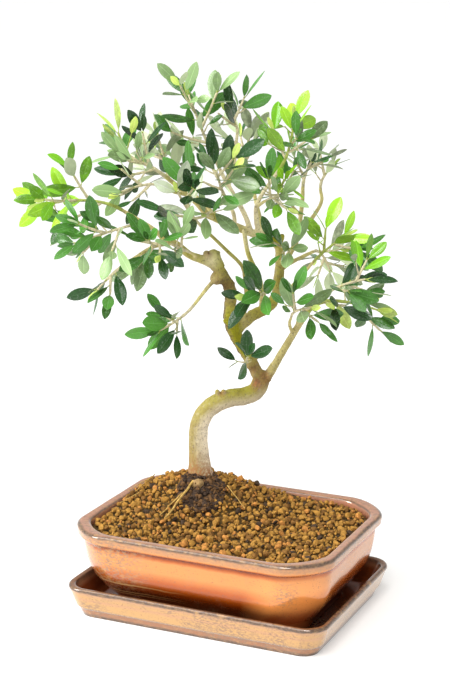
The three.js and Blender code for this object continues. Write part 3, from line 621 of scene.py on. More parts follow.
# How high the bright horizon reaches up the sky, as the sine of its height.
HORIZON_TOP = 0.35

# Lights: where each stands, what they aim at and how wide they are, in metres.
SUN_PLACE = (-0.9, -1.4, 2.6)
KEY_PLACE = (-1.3, -0.9, 0.8)
TOP_PLACE = (0.4, -0.9, 1.5)
LIGHT_AIM = (0, 0, 0.2)
LIGHT_SIZE = 0.6

# Angles over which an edge of a mesh is sharp, in degrees.
SOIL_SHARP = 40
VESSEL_SHARP = 50
GRAIN_SHARP = 35
BALL_SHARP = 60
BLADE_SHARP = 60
NEVER_SHARP = 180


# Settings.


def linear(hex_colour):
    """The linear colour of an sRGB hex value."""
    parts = [int(hex_colour[i : i + 2], 16) / 255 for i in (1, 3, 5)]
    return tuple(c / 12.92 if c <= 0.04045 else ((c + 0.055) / 1.055) ** 2.4 for c in parts)


def colour_property(name, description, hex_colour):
    """A colour that a user can change, given as an sRGB hex value."""
    return FloatVectorProperty(
        name=name, description=description, default=linear(hex_colour), subtype="COLOR", min=0, max=1
    )


def length_property(name, description, size):
    """A length that a user can change, given in millimetres."""
    return FloatProperty(name=name, description=description, default=size * MM, unit="LENGTH")


class BonsaiGlaze(bpy.types.PropertyGroup):
    """Glaze of the pot and the tray."""

    peach: colour_property("Peach", "Glaze where it lies thick on the pot's body", "#D2894A")
    copper: colour_property("Copper", "Glaze where the body turns under", "#B4540E")
    # Painted light on the pot's lower front corner.
    amber: colour_property("Amber", "Glaze low on the pot's front corner", "#FFA658")
    # This colour is partly the glaze's own and partly painted shade under the rim's step and where the body
    # turns under.
    burnt_and_shade: colour_property("Burnt", "Glaze low on the pot's body", "#6E2A04")
    edge: colour_property("Edge", "Glaze where it thins over an edge", "#5E4C40")
    rim: colour_property("Rim", "Glaze on the flat top of the rim", "#BE8A70")
    lip: colour_property("Lip", "Glaze on the upright face of the rim", "#BC8458")
    ledge: colour_property("Ledge", "Glaze on the flat top of the tray's rim", "#80583A")
    honey: colour_property("Honey", "Glaze on the tray's wall", "#C69A62")
    rose: colour_property("Rose", "Glaze low on the tray's wall", "#A4704E")
    mauve: colour_property("Mauve", "Clouds of speckle in the glaze", "#90745E")
    # The dark inside of the tray is painted shade of the pot over it.
    inside: colour_property("Inside", "Glaze inside the tray", "#8A4420")
    wobble: length_property("Wobble", "How far the glazed wall waves", 0.25)


class BonsaiSoil(bpy.types.PropertyGroup):
    """Baked clay granules."""

    ochre: colour_property("Ochre", "Most of the granules", "#AA7D38")
    tan: colour_property("Tan", "Orange granules", "#BE8240")
    brown: colour_property("Brown", "Damp granules", "#805A2A")
    dark: colour_property("Dark", "Nearly black granules", "#4A3A2C")
    bed: colour_property("Bed", "Fine soil between the granules", "#54401E")
    earth: colour_property("Earth", "Fine soil of the root ball", "#45352A")
    damp: colour_property("Damp earth", "Brown crumbs on the root ball", "#6A4C2E")
    straw: colour_property("Straw", "Dry roots that lie on the soil", "#CDA65A")
    fibre: colour_property("Fibre", "Fine roots in the root ball", "#7C5A38")
    cut: colour_property("Cut root", "The root that was cut beside the trunk", "#B08E5E")
    grain_least: length_property("Smallest granule", "Width of the smallest granules", 2.4)
    grain_most: length_property("Largest granule", "Width of the largest granules", 6.8)
    seed: IntProperty(name="Seed", description="Seed of the granules' places", default=7)


class BonsaiBark(bpy.types.PropertyGroup):
    """Bark of the trunk, boughs and twigs."""

    smooth: colour_property("Smooth bark", "Bark of the trunk", "#A2925A")
    # On the trunk's side away from the painted light, pale bark is a painted highlight.
    pale: colour_property("Pale bark", "Bark on the trunk's shady side, and pale flecks elsewhere", "#FCEFD2")
    rough: colour_property("Rough bark", "Bark of the old leader", "#664E28")
    # Green bark lies on the side that faces the painted light: partly the bark's own green, partly painted
    # light and shade.
    green: colour_property("Green bark", "Bark on the sunny side of the bend and the leader", "#94920E")
    stain: colour_property("Stain", "Earth on the trunk's foot, and old scars", "#9A663C")
    young: colour_property("Young bark", "Bark of the boughs", "#D8CC90")
    twig: colour_property("Twig bark", "Bark of the twigs", "#D2C8A2")
    shoot: colour_property("Green shoot", "Bark of young shoots and leaf stalks", "#A9B65A")
    voxel: length_property("Weld", "Size of the voxels that weld the limbs", 0.62)
    relief: length_property("Relief", "Depth of the rough bark", 1.3)


class BonsaiLeaves(bpy.types.PropertyGroup):
    """Colours of the leaves' upper sides, by kind of spray, and of their undersides."""

    deep: colour_property("Deep", "Old leaves in shade", "#23461E")
    green: colour_property("Green", "Old leaves in the light", "#3E7028")
    grey: colour_property("Grey", "Leaves with a grey bloom", "#789260")
    silver: colour_property("Silver", "Leaves with a thick bloom", "#BED0AE")
    fresh: colour_property("Fresh", "This year's full-grown leaves", "#62981C")
    young: colour_property("Young", "Leaves that still grow", "#82B226")
    pale: colour_property("Pale", "The newest leaves", "#B2CE62")
    under: colour_property("Underside", "Felted undersides", "#A2AE8C")


class BonsaiStage(bpy.types.PropertyGroup):
    """Floor, light and camera."""

    floor: colour_property("Floor", "The plain pale floor", "#D8D8D7")
    backdrop: colour_property("Backdrop", "The backdrop all round", "#FFFFFF")
    floor_size: length_property("Floor size", "Width of the floor", 80000)
    sky: FloatProperty(name="Sky", description="Strength of the even studio light from above", default=0.42)
    horizon: FloatProperty(name="Horizon", description="Strength of the white backdrop all round", default=1)
    sun: FloatProperty(name="Sun", description="Strength of the wide light from above", default=1.8)
    sun_width: FloatProperty(
        name="Sun width", description="How wide the light from above looks", default=math.radians(50),
        subtype="ANGLE",
    )
    key: FloatProperty(name="Key", description="Power of the left light", default=24, unit="POWER")
    top: FloatProperty(name="Top", description="Power of the light above", default=16, unit="POWER")
    glow: FloatProperty(name="Glow", description="Light that comes through the floor", default=0.56)
    lens: FloatProperty(name="Lens", description="Focal length in millimetres", default=91.1, unit="CAMERA")


# Small tools.


def toned(colour, tone=1, lift=0):
    """A colour made darker or lighter, as shaders take it."""
    return (*(min(1, c * tone + lift) for c in colour[:3]), 1)


def colours_of(group):
    """The colours among a group of settings, by name, as shaders take them."""
    values = {key: getattr(group, key) for key in type(group).__annotations__}
    return {key: toned(value) for key, value in values.items() if isinstance(value, Color)}


def unit(vector):
    """The same direction with a length of 1."""
    return vector / np.linalg.norm(vector)


def all_round(count):
    """Angles all round, in equal steps."""
    return np.arange(count) / count * 2 * math.pi


def seeded(seed):
    """The source's own row of random numbers for a seed."""
    state = seed * DRAW_SEED % DRAW_RANGE

    def draw():
        nonlocal state
        state = (state * DRAW_STEP + DRAW_SHIFT) % DRAW_RANGE
        return state / DRAW_RANGE

    return draw


def between(draw, limits):
    """The next random number, between two limits."""
    low, high = limits
    return low + (high - low) * draw()


def to_part(points):
    """Points in the tree's axes as points of the part."""
    return np.asarray(points) @ TREE_AXES.T + TREE_FOOT


def mound_height(x, y):
    """Height of the soil without its heaps."""
    distance = np.hypot(x - TREE_FOOT[0], y - TREE_FOOT[1])
    return SOIL_EDGE + SOIL_MOUND * np.exp(-((distance / SOIL_MOUND_SPREAD) ** 2))


def soil_height(x, y):
    """Height of the soil, whose heaps and pits lie on a chequered grid that sways."""
    across = x - TREE_FOOT[0]
    deep = y - TREE_FOOT[1]
    grid = HEAP_SPACING / math.sqrt(2)
    row = np.cos(math.pi * (across - HEAP_SWAY * np.sin(deep / HEAP_SWAY_LENGTH)) / grid)
    column = np.cos(math.pi * (deep - HEAP_SWAY * np.sin(across / HEAP_SWAY_LENGTH)) / grid)
    beyond = np.clip(np.hypot(across, deep) / HEAP_FREE - 1, 0, 1)
    return mound_height(x, y) + HEAP_RISE * row * column * beyond**2 * (3 - 2 * beyond)


def ripple(points, waves):
    """Smooth noise at points, from waves that each have a distance between humps, a seed and a height."""
    made = np.zeros(len(points))
    for size, seed, height in waves:
        shift = Vector([seed * step for step in NOISE_SHIFT])
        made += height * np.array([noise.noise(Vector(p) / size + shift) for p in points])
    return made


# Meshes.


def make_piece(name, points, faces, materials, sharp, kinds=None, levels=None):
    """A piece from arrays in millimetres that rides on the part. Kinds are each face's material."""
    mesh = bpy.data.meshes.new(name)
    mesh.from_pydata((np.asarray(points) * MM).tolist(), [], [list(face) for face in faces])
    for material in materials:
        mesh.materials.append(material)
    if kinds is not None:
        mesh.polygons.foreach_set("material_index", np.asarray(kinds, np.int32))
    for attribute, values in (levels or {}).items():
        mesh.attributes.new(attribute, "FLOAT", "POINT").data.foreach_set("value", values.astype(np.float32))
    mesh.shade_smooth()
    mesh.set_sharp_from_angle(angle=math.radians(sharp))
    mesh.validate()
    made = bpy.data.objects.new(name, mesh)
    bpy.context.scene.collection.objects.link(made)
    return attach(made, "root")


def joined(parts):
    """Parts of (points, faces) as one pair of lists."""
    points = []
    faces = []
    count = 0
    for part_points, part_faces in parts:
        points.append(part_points)
        faces.extend([i + count for i in face] for face in part_faces)
        count += len(part_points)
    return np.concatenate(points), faces


def skin(rings):
    """A closed skin over rings of equal size, first to last, as (points, faces)."""
    count = len(rings[0])
    points = np.concatenate(rings)
    faces = []
    for r in range(len(rings) - 1):
        a = r * count
        for i in range(count):
            j = (i + 1) % count
            faces.append((a + i, a + j, a + count + j, a + count + i))
    faces.append(tuple(reversed(range(count))))
    faces.append(tuple(range(len(points) - count, len(points))))
    return points, faces


def tube(line_points, radii, sides, least_side=0.05):
    """A closed tube of round rings along points."""
    middles = np.asarray(line_points, float)
    ahead = np.gradient(middles, axis=0)
    angles = all_round(sides)
    side = np.array([1.0, 0, 0])
    rings = []
    for middle, direction, radius in zip(middles, ahead, radii):
        tangent = unit(direction)
        side = side - tangent * (side @ tangent)
        if np.linalg.norm(side) < least_side:
            side = np.cross(tangent, TO_BACK)
        side = unit(side)
        other = np.cross(tangent, side)
        rings.append(middle + radius * (np.outer(np.cos(angles), side) + np.outer(np.sin(angles), other)))
    return skin(rings)


def round_tips(line_points, radii):
    """Adds a short domed end to a line of points and radii."""
    points = list(line_points)
    ahead = unit(points[-1] - points[-2])
    last = radii[-1]
    dome_points = [points[-1] + ahead * last * on for on, _ in DOME]
    return points + dome_points, list(radii) + [last * wide for _, wide in DOME]


def soft_profile(corners):
    """A profile whose corners are rounded, as an array of (z, inset)."""
    places = np.array([corner[:2] for corner in corners], float)
    line = [places[0]]
    for i in range(1, len(corners) - 1):
        back = places[i - 1] - places[i]
        on = places[i + 1] - places[i]
        room = min(np.linalg.norm(back), np.linalg.norm(on)) / 2
        reach = min(corners[i][2], room)
        start = places[i] + unit(back) * reach
        end = places[i] + unit(on) * reach
        for t in np.linspace(0, 1, PROFILE_CORNER_STEPS + 1):
            line.append((1 - t) ** 2 * start + 2 * t * (1 - t) * places[i] + t**2 * end)
    line.append(places[-1])
    return np.array(line)


def filled_in(line, longest):
    """The same line with points added where two lie further apart than that."""
    made = [line[0]]
    for a, b in zip(line[:-1], line[1:]):
        count = max(1, math.ceil(np.linalg.norm(b - a) / longest))
        made.extend(a + (b - a) * (k + 1) / count for k in range(count))
    return np.array(made)


def mirrored(corner):
    """One corner, run from the short side to the long side, made into all four."""
    back = corner[::-1]
    return np.concatenate([corner, back * (-1, 1), corner * (-1, -1), back * (1, -1)])


def pot_outline(inset):
    """A rectangle with soft cut corners, which are flatter than a round."""
    half_length = POT_LENGTH / 2 - inset
    half_width = POT_WIDTH / 2 - inset
    size = POT_CORNER * (1 - inset / POT_WIDTH)
    bend = size * (1 - POT_CORNER_PULL)
    t = np.linspace(0, 1, POT_CORNER_STEPS + 1)[:, None]
    corner = (
        (1 - t) ** 3 * (half_length, half_width - size)
        + 3 * t * (1 - t) ** 2 * (half_length, half_width - bend)
        + 3 * t**2 * (1 - t) * (half_length - bend, half_width)
        + t**3 * (half_length - size, half_width)
    )
    return mirrored(corner) + POT_MIDDLE


def tray_outline(inset):
    """A rectangle with round corners."""
    half_length = TRAY_LENGTH / 2 - inset
    half_width = TRAY_WIDTH / 2 - inset
    radius = max(TRAY_CORNER - inset / 2, TRAY_CORNER_LEAST)
    angle = np.linspace(0, math.pi / 2, TRAY_CORNER_STEPS + 1)
    corner = [half_length - radius * (1 - np.cos(angle)), half_width - radius * (1 - np.sin(angle))]
    return mirrored(np.stack(corner, -1))


def closed_line(outline):
    """An outline with each of its long straights cut into pieces."""
    made = []
    for a, b in zip(outline, np.roll(outline, -1, axis=0)):
        count = STRAIGHT_PIECES if np.linalg.norm(b - a) > STRAIGHT_LEAST else 1
        made.extend(a + (b - a) * k / count for k in range(count))
    return np.array(made)


# Materials.


def add_node(tree, kind, output, values):
    """Adds a node, sets or links each of its values, and gives one of its outputs. Stops are a ramp's."""
    node = tree.nodes.new(kind)
    for name, value in values.items():
        if name == "stops":
            for place, _ in value[2:]:
                node.color_ramp.elements.new(place)
            for element, (place, colour) in zip(node.color_ramp.elements, value):
                element.position = place
                element.color = colour
        elif isinstance(value, bpy.types.NodeSocket):
            tree.links.new(value, node.inputs[name])
        elif isinstance(name, int) or name in node.inputs:
            node.inputs[name].default_value = value
        else:
            setattr(node, name, value)
    return node.outputs[output]


def new_material(name, sheen, more=None):
    """A material with a sheen and more values of its shader, its node tree and its shader."""
    material = bpy.data.materials.new(name)
    material.use_nodes = True
    shader = material.node_tree.nodes["Principled BSDF"]
    roughness, specular = sheen
    values = {"Roughness": roughness, "Specular IOR Level": specular, **(more or {})}
    for key, value in values.items():
        shader.inputs[key].default_value = value
    return material, material.node_tree, shader


def spots(tree, place, size, low, high, detail, most):
    """A mask of soft spots that many millimetres apart, from noise between two levels, up to a limit."""
    cloud = add_node(tree, "ShaderNodeTexNoise", "Fac", {
        "Scale": 1 / (size * MM), "Detail": detail, "Roughness": SPOT_ROUGHNESS, "Vector": place,
    })
    return add_node(tree, "ShaderNodeMapRange", "Result", {
        "From Min": low, "From Max": high, "To Max": most, "Value": cloud,
    })


def patch(tree, place, middle, reach, most=1):
    """A mask that is full at a point of the object and fades to nothing at a reach from it."""
    away = add_node(tree, "ShaderNodeVectorMath", "Value", {
        "operation": "DISTANCE", 0: place, 1: [v * MM for v in middle],
    })
    return add_node(tree, "ShaderNodeMapRange", "Result", {
        "From Min": reach * MM, "From Max": reach * MM * PATCH_CORE, "To Max": most, "Value": away,
    })


def layered(tree, colour, layers):
    """A colour with others laid over it, each by its mask. A colour is a socket or a plain colour."""
    for mask, cover in layers:
        colour = add_node(tree, "ShaderNodeMix", MIX_RESULT, {
            "data_type": "RGBA", MIX_MASK: mask, MIX_BELOW: colour, MIX_ABOVE: cover,
        })
    return colour


def layered_material(name, sheen, colour, layers, humps=None):
    """A material with colours laid over its first, and fine relief.

    A layer has the name of one of the mesh's levels, a pattern of spots, or both, and its colour.
    """
    material, tree, shader = new_material(name, sheen)
    place = add_node(tree, "ShaderNodeTexCoord", "Object", {})
    masked = []
    for level, pattern, cover in layers:
        mask = spots(tree, place, *pattern) if pattern else 1
        if level:
            shown = add_node(tree, "ShaderNodeAttribute", "Fac", {"attribute_name": level})
            mask = add_node(tree, "ShaderNodeMath", "Value", {"operation": "MULTIPLY", 0: shown, 1: mask})
        masked.append((mask, cover))
    tree.links.new(layered(tree, colour, masked), shader.inputs["Base Color"])
    if humps:
        size, depth, strength = humps
        cloud = add_node(tree, "ShaderNodeTexNoise", "Fac", {
            "Scale": 1 / (size * MM), "Detail": RELIEF_DETAIL, "Vector": place,
        })
        bump = add_node(tree, "ShaderNodeBump", "Normal", {
            "Strength": strength, "Distance": depth * MM, "Height": cloud,
        })
        tree.links.new(bump, shader.inputs["Normal"])
    return material


def glaze_material(name, look, corners, total, colours):
    """Reactive copper glaze on stoneware: a glassy lustre in bands that break dark over edges, with specks.

    Corners are how far along the profile each of its corners lies, and the total is its whole length. Clouds,
    patches and dusty stretches are speckled with a dull and a golden colour. Golden lines are painted
    reflections, warm places are painted light, and the dark bands low down are partly painted shade.
    """
    dull = colours["mauve"]
    golden = colours["honey"]
    material, tree, shader = new_material(name, GLAZE_SHEEN, GLAZE_COAT)
    place = add_node(tree, "ShaderNodeTexCoord", "Object", {})

    def reached(corner, beyond):
        return np.interp(corner, range(len(corners)), corners) + beyond

    def grey(amount):
        return (amount, amount, amount, 1)

    level = add_node(tree, "ShaderNodeAttribute", "Fac", {"attribute_name": "level"})
    sway = add_node(tree, "ShaderNodeTexNoise", "Fac", {**SWAY_NOISE, "Vector": place})
    drift = add_node(tree, "ShaderNodeMapRange", "Result", {
        "To Min": -SWAY_DRIFT / total, "To Max": SWAY_DRIFT / total, "Value": sway,
    })
    along = add_node(tree, "ShaderNodeMath", "Value", {"operation": "ADD", 0: level, 1: drift})
    bands = [(reached(corner, beyond) / total, colours[key]) for corner, beyond, key in look.bands]
    banded = add_node(tree, "ShaderNodeValToRGB", "Color", {"stops": bands, "Fac": along})
    dusty = [(reached(corner, beyond) / total, grey(amount)) for corner, beyond, amount in look.dust]
    cloud = add_node(tree, "ShaderNodeValToRGB", "Color", {"stops": dusty, "Fac": level})
    masks = [spots(tree, place, *look.clouds)] + [patch(tree, place, *spot) for spot in look.patches]
    for mask in masks:
        cloud = add_node(tree, "ShaderNodeMath", "Value", {"operation": "MAXIMUM", 0: mask, 1: cloud})
    # Warm places: painted light.
    layers = [(patch(tree, place, *spot), colours["amber"]) for spot in look.warm]
    layers.append((spots(tree, place, *GLAZE_TINGE), dull))
    stretch = {"operation": "MULTIPLY", 0: place, 1: SPECK_STRETCH}
    wide = add_node(tree, "ShaderNodeVectorMath", "Vector", stretch)
    speckled = [
        (cloud, spots(tree, wide, *GOLD_SPECKS), golden), (cloud, spots(tree, wide, *DULL_SPECKS), dull),
    ]
    # Golden lines: painted reflections low on the pot's left.
    if look.lines:
        stops = [(0, grey(0))]
        for line in look.lines:
            stops += [((reached(*line) + d * PAINTED_REFLECTION_HALF) / total, grey(1 - abs(d))) for d in (-1, 0, 1)]
        painted_reflection = add_node(tree, "ShaderNodeValToRGB", "Color", {"stops": stops, "Fac": along})
        speckled.insert(0, (patch(tree, place, *PAINTED_REFLECTION_PATCH), painted_reflection, golden))
    for first, second, cover in speckled:
        mask = add_node(tree, "ShaderNodeMath", "Value", {"operation": "MULTIPLY", 0: first, 1: second})
        layers.append((mask, cover))
    layers.append((spots(tree, place, *GLAZE_FLECKS), toned(dull, FLECK_TONE)))
    tree.links.new(layered(tree, banded, layers), shader.inputs["Base Color"])
    return material


def granule_material(name, colour):
    """Baked clay granules: dull, dusty lumps with a lighter and a darker side."""
    return layered_material(name, CLAY_SHEEN, toned(colour, CLAY_DARK), [
        (None, CLAY_GRAIN, colour), (None, CLAY_DUST, toned(colour, CLAY_LIGHT)),
    ], CLAY_RELIEF)


def bark_material(colours):
    """Olive bark: smooth and tan on the trunk, brown and cracked on old wood, green on the side that faces
    the painted light and pale on the trunk's other side, partly painted light and shade.
    """
    dark = toned(colours["rough"], CRACK_DARK)
    return layered_material("olive_bark", BARK_SHEEN, colours["young"], [
        ("old", None, colours["smooth"]),
        ("rough", None, colours["rough"]),
        (None, PALE_FLECKS, colours["pale"]),
        # Green and pale here carry painted light and shade as well as the bark's own colour.
        ("sunny", None, colours["green"]),
        ("pale", None, colours["pale"]),
        (None, BROWN_PATCHES, colours["rough"]),
        (None, DARK_SPECKS, dark),
        ("rough", BARK_CRACKS, dark),
        ("stain", BARK_STAINS, colours["stain"]),
    ], BARK_RELIEF)


def fibre_material(name, colour, look):
    """Young bark or dry root: thin and dull, with darker flecks between its pale ridges."""
    sheen, flecks, dark = look
    return layered_material(name, sheen, colour, [(None, flecks, toned(colour, dark))])


def blade_material(name, colour, sheen):
    """Olive leaf: a leathery skin, with a sheen above and a dull felt below, each leaf lighter or darker."""
    light = toned(colour, LEAF_LIGHT)
    return layered_material(name, sheen, toned(colour, LEAF_DARKEST), [
        ("tone", None, toned(colour, LEAF_BRIGHTEST)),
        (None, LEAF_MOTTLE, light),
        (None, LEAF_BLOOM, toned(light, *BLOOM_TONE)),
    ], LEAF_RELIEF)


# Growth, by the rule of the part's source.


def limb_line(path):
    """A smooth line through a limb's points, as a function of the share along it."""
    knots = np.array(path, float)
    held = np.vstack([2 * knots[0] - knots[1], knots, 2 * knots[-1] - knots[-2]])

    def point(share):
        place = share * (len(knots) - 1)
        first = min(int(place), len(knots) - 2)
        t = place - first
        a, b, c, d = held[first : first + 4]
        leave = (c - a) / 2
        arrive = (d - b) / 2
        bend = 3 * (c - b) - 2 * leave - arrive
        return b + t * leave + t**2 * bend + t**3 * (2 * (b - c) + leave + arrive)

    return point


def bent_line(start, direction, reach, end):
    """A line that leaves its start along a direction and bends to its end."""
    control = start + direction * reach

    def point(share):
        rest = 1 - share
        return rest**2 * start + 2 * rest * share * control + share**2 * end

    return point


def tangent_at(line, share, step=1e-4):
    """The direction of a line at a share along it."""
    return unit(line(min(share + step, 1)) - line(max(share - step, 0)))


def line_length(line, steps=200):
    """The length of a line, measured in that many steps."""
    points = np.array([line(i / steps) for i in range(steps + 1)])
    return np.linalg.norm(np.diff(points, axis=0), axis=1).sum()


def limb_lines():
    """Each limb's name, line and length."""
    for name, (_, _, path) in LIMBS.items():
        line = limb_line(path)
        yield name, line, line_length(line)


def limb_radius(name, share, length):
    """Half the thickness of a limb, which flares at the trunk's root."""
    foot, tip, _ = LIMBS[name]
    flare = ROOT_FLARE * math.exp(-share * length / ROOT_FLARE_HEIGHT) if name == "trunk" else 0
    return (foot + (tip - foot) * share) / 2 + flare


class Room:
    """Everything that has grown, stood for by balls that new growth keeps clear of."""

    def __init__(self):
        self.at = np.zeros((0, 3))
        self.radius = np.zeros(0)
        self.owner = np.zeros(0, int)

    def claim(self, points, radii, owner):
        """Adds balls that belong to a shoot."""
        self.at = np.vstack([self.at, points])
        self.radius = np.concatenate([self.radius, radii])
        self.owner = np.concatenate([self.owner, np.full(len(points), owner)])

    def is_clear(self, points, radii, parent):
        """Whether balls keep clear of everything but the shoot that they grow from."""
        others = self.owner != parent
        apart = np.linalg.norm(points[:, None] - self.at[None, others], axis=2)
        return bool((apart > radii[:, None] + self.radius[others] + GROWTH_GAP).all())


def balls_along(line, radius_at, start=0.0):
    """Balls along a line from a share of it to its end, as (points, radii)."""
    count = max(2, math.ceil(line_length(line) / BALL_STEP))
    shares = [start + (1 - start) * i / count for i in range(count + 1)]
    return np.array([line(s) for s in shares]), np.array([radius_at(s) for s in shares])


def make_shoot(number, line, thick, tip, turn, pairs):
    """A stem, side shoot or twig, whose kinds of leaf and bud are dealt later."""
    return SimpleNamespace(
        number=number, line=line, length=line_length(line), thick=thick, tip=tip, turn=turn, pairs=pairs,
        kind="", bud_kind="",
    )


def shoot_radius(shoot):
    """Half a shoot's thickness, as a function of the share along it."""
    return lambda share: (shoot.thick + (shoot.tip - shoot.thick) * share) / 2


def square_to(tangent, turn, least=1e-4):
    """A direction square to a shoot. At turn 0 it lies in the front plane."""
    first = np.cross(tangent, TO_BACK)
    first = UP if first @ first < least else unit(first)
    second = np.cross(tangent, first)
    angle = math.radians(turn)
    return first * math.cos(angle) + second * math.sin(angle)


def leaning(tangent, outward, lean):
    """A direction that leans outward from a shoot by an angle."""
    angle = math.radians(lean)
    return tangent * math.cos(angle) + outward * math.sin(angle)


def stem_of(limb_name, tip, turn, number):
    """The stem of a mass, which carries on from the tip of its limb."""
    _, limb_tip, path = LIMBS[limb_name]
    limb = limb_line(path)
    direction = tangent_at(limb, 1)
    start = limb(1) + direction * CLEARANCE
    end = np.array(tip, float)
    line = bent_line(start, direction, np.linalg.norm(end - start) * STEM_REACH, end)
    return make_shoot(number, line, limb_tip * STEM_SHARE, TWIG_TIP, turn, STEM_PAIRS)


def branch_line(parent, share, turn, lean, length):
    """The line of a branch, which leans from its parent's line and rises a little to its end."""
    tangent = tangent_at(parent, share)
    direction = leaning(tangent, square_to(tangent, turn), lean)
    start = parent(share)
    end = start + direction * length + UP * length * SHOOT_RISE
    return bent_line(start, direction, length * SHOOT_REACH, end)


def side_shoot(plant, i, number):
    """One side shoot of a stem. Shoots alternate by sides, and each pair of them is square to the last."""
    stem = plant.shoots[0]
    share = SHOOT_FIRST + (SHOOT_LAST - SHOOT_FIRST) * (i + 0.5) / plant.side_shoots
    turn = stem.turn + 180 * (i % 2) + 90 * (i // 2) + between(plant.draw, SHOOT_SWING)
    lean = between(plant.draw, SHOOT_LEAN)
    length = np.clip(stem.length * between(plant.draw, SHOOT_SHARE), *SHOOT_LENGTH)
    line = branch_line(stem.line, share, turn, lean, length)
    return make_shoot(number, line, SHOOT_THICK, TWIG_TIP, turn + FIRST_PAIR_TURN, SHOOT_PAIRS)


def fine_twig(shoot, share, turn, draw, number):
    """A fine twig on a shoot, with one pair of leaves."""
    lean = between(draw, FINE_LEAN)
    line = branch_line(shoot.line, share, turn, lean, between(draw, FINE_LENGTH))
    return make_shoot(number, line, FINE_THICK, FINE_TIP, turn + FIRST_PAIR_TURN, 1)


def place_leaf(shoot, share, turn, lean, roll, length):
    """A leaf from its root: a blade that faces the light and the shoot's tip."""
    tangent = tangent_at(shoot.line, share)
    root = shoot.line(share)
    along = leaning(tangent, square_to(tangent, turn), lean)
    side = np.clip((root[1] - LIGHT_MIDDLE) / LIGHT_SPREAD, -1, 1)
    face = tangent * TIP_PULL + np.array([0, LIGHT_SIDE * side, LIGHT_ABOVE])
    face = unit(face - along * (face @ along))
    angle = math.radians(roll)
    face = face * math.cos(angle) + np.cross(along, face) * math.sin(angle)
    across = np.cross(along, face)
    return SimpleNamespace(
        root=root, along=along, face=face, across=across, length=length, half=length * LEAF_ASPECT / 2,
        shoot=shoot, is_bud=False,
    )


def grow_leaf(leaf, room):
    """Claims a leaf's space, if it is clear of everything but its own shoot."""
    forward = leaf.length * LEAF_BALLS[:, :1]
    sideways = leaf.half * LEAF_BALLS[:, 1:]
    balls = leaf.root + forward * leaf.along + sideways * leaf.across
    radii = np.full(len(balls), leaf.half * LEAF_BALL)
    if not room.is_clear(balls, radii, leaf.shoot.number):
        return []
    room.claim(balls, radii, 0)
    return [leaf]


def leaves_on(shoot, leaf_length, draw, room):
    """The pairs of leaves on a shoot, from its tip back to where it is bare."""
    pairs = min(shoot.pairs, 1 + int(shoot.length * LEAFY_SHARE / INTERNODE))
    grown = []
    for pair in range(pairs):
        share = 1 - pair * INTERNODE / shoot.length - TIP_INSET
        opening = LEAF_LEAN[0] + (LEAF_LEAN[1] - LEAF_LEAN[0]) * min(1, pair / LEAF_OPEN_PAIR)
        for side in (0, 180):
            turn = shoot.turn + 90 * pair + side + between(draw, LEAF_SWING)
            lean = opening + between(draw, LEAF_LEAN_SWING)
            roll = between(draw, LEAF_ROLL)
            length = leaf_length * between(draw, LEAF_SPREAD) * (TIP_LEAF if pair == 0 else 1)
            grown += grow_leaf(place_leaf(shoot, share, turn, lean, roll, length), room)
    return grown


def grow_masses():
    """The source's foliage: all the stems, then their side shoots, then the leaves."""
    room = Room()
    for name, line, length in limb_lines():
        room.claim(*balls_along(line, lambda share: limb_radius(name, share, length)), 0)
    number = 1
    plants = []
    for name, (limb_name, tip, side_shoots, turn, leaf_length, seed) in MASSES.items():
        stem = stem_of(limb_name, tip, turn, number)
        number += 1
        room.claim(*balls_along(stem.line, shoot_radius(stem), STEM_FOOT), stem.number)
        plants.append(SimpleNamespace(
            name=name, side_shoots=side_shoots, leaf_length=leaf_length, seed=seed, draw=seeded(seed),
            shoots=[stem], fine=[], leaves=[],
        ))
    for plant in plants:
        for i in range(plant.side_shoots):
            shoot = side_shoot(plant, i, number)
            number += 1
            balls = balls_along(shoot.line, shoot_radius(shoot), SHOOT_FOOT)
            if room.is_clear(*balls, plant.shoots[0].number):
                room.claim(*balls, shoot.number)
                plant.shoots.append(shoot)
    for plant in plants:
        for shoot in plant.shoots:
            plant.leaves += leaves_on(shoot, plant.leaf_length, plant.draw, room)
    return plants, room, number


def deal_kinds(plants):
    """Deals each spray its kind of leaf and of bud: young growth where it shows, and old leaves elsewhere."""
    for plant in plants:
        draw = seeded(plant.seed + KIND_SEED)
        known = KNOWN_SPRAYS.get(plant.name, {})
        for i, shoot in enumerate(plant.shoots):
            tone = draw()
            old = "deep" if tone < DEEP_SHARE else "green" if tone < DEEP_SHARE + GREEN_SHARE else "grey"
            shoot.kind = known.get(i, old)
            shoot.bud_kind = "pale" if draw() < PALE_BUDS else shoot.kind


def grow_finer(plants, room, number):
    """Carries every shoot on to finer twigs with smaller leaves, and to a bud of two leaves at its tip."""
    for plant in plants:
        draw = seeded(plant.seed + FINE_SEED)
        for shoot in plant.shoots:
            for side in (0, 180):
                turn = shoot.turn + 90 + side + between(draw, LEAF_SWING)
                length = plant.leaf_length * BUD_LEAF * between(draw, LEAF_SPREAD)
                bud = place_leaf(shoot, 1 - TIP_INSET, turn, BUD_LEAN, between(draw, LEAF_ROLL), length)
                bud.is_bud = True
                plant.leaves += grow_leaf(bud, room)
            for i in range(int(shoot.length * (1 - FINE_FIRST) / FINE_SPACING)):
                share = FINE_FIRST + i * FINE_SPACING / shoot.length
                twig = fine_twig(shoot, share, shoot.turn + FINE_TURN * i, draw, number)
                number += 1
                balls = balls_along(twig.line, shoot_radius(twig), SHOOT_FOOT)
                if not room.is_clear(*balls, shoot.number):
                    continue
                twig.kind = shoot.kind
                leaves = leaves_on(twig, plant.leaf_length * FINE_LEAF, draw, room)
                if leaves:
                    room.claim(*balls, twig.number)
                    plant.fine.append(twig)
                    plant.leaves += leaves


# Pot and tray.


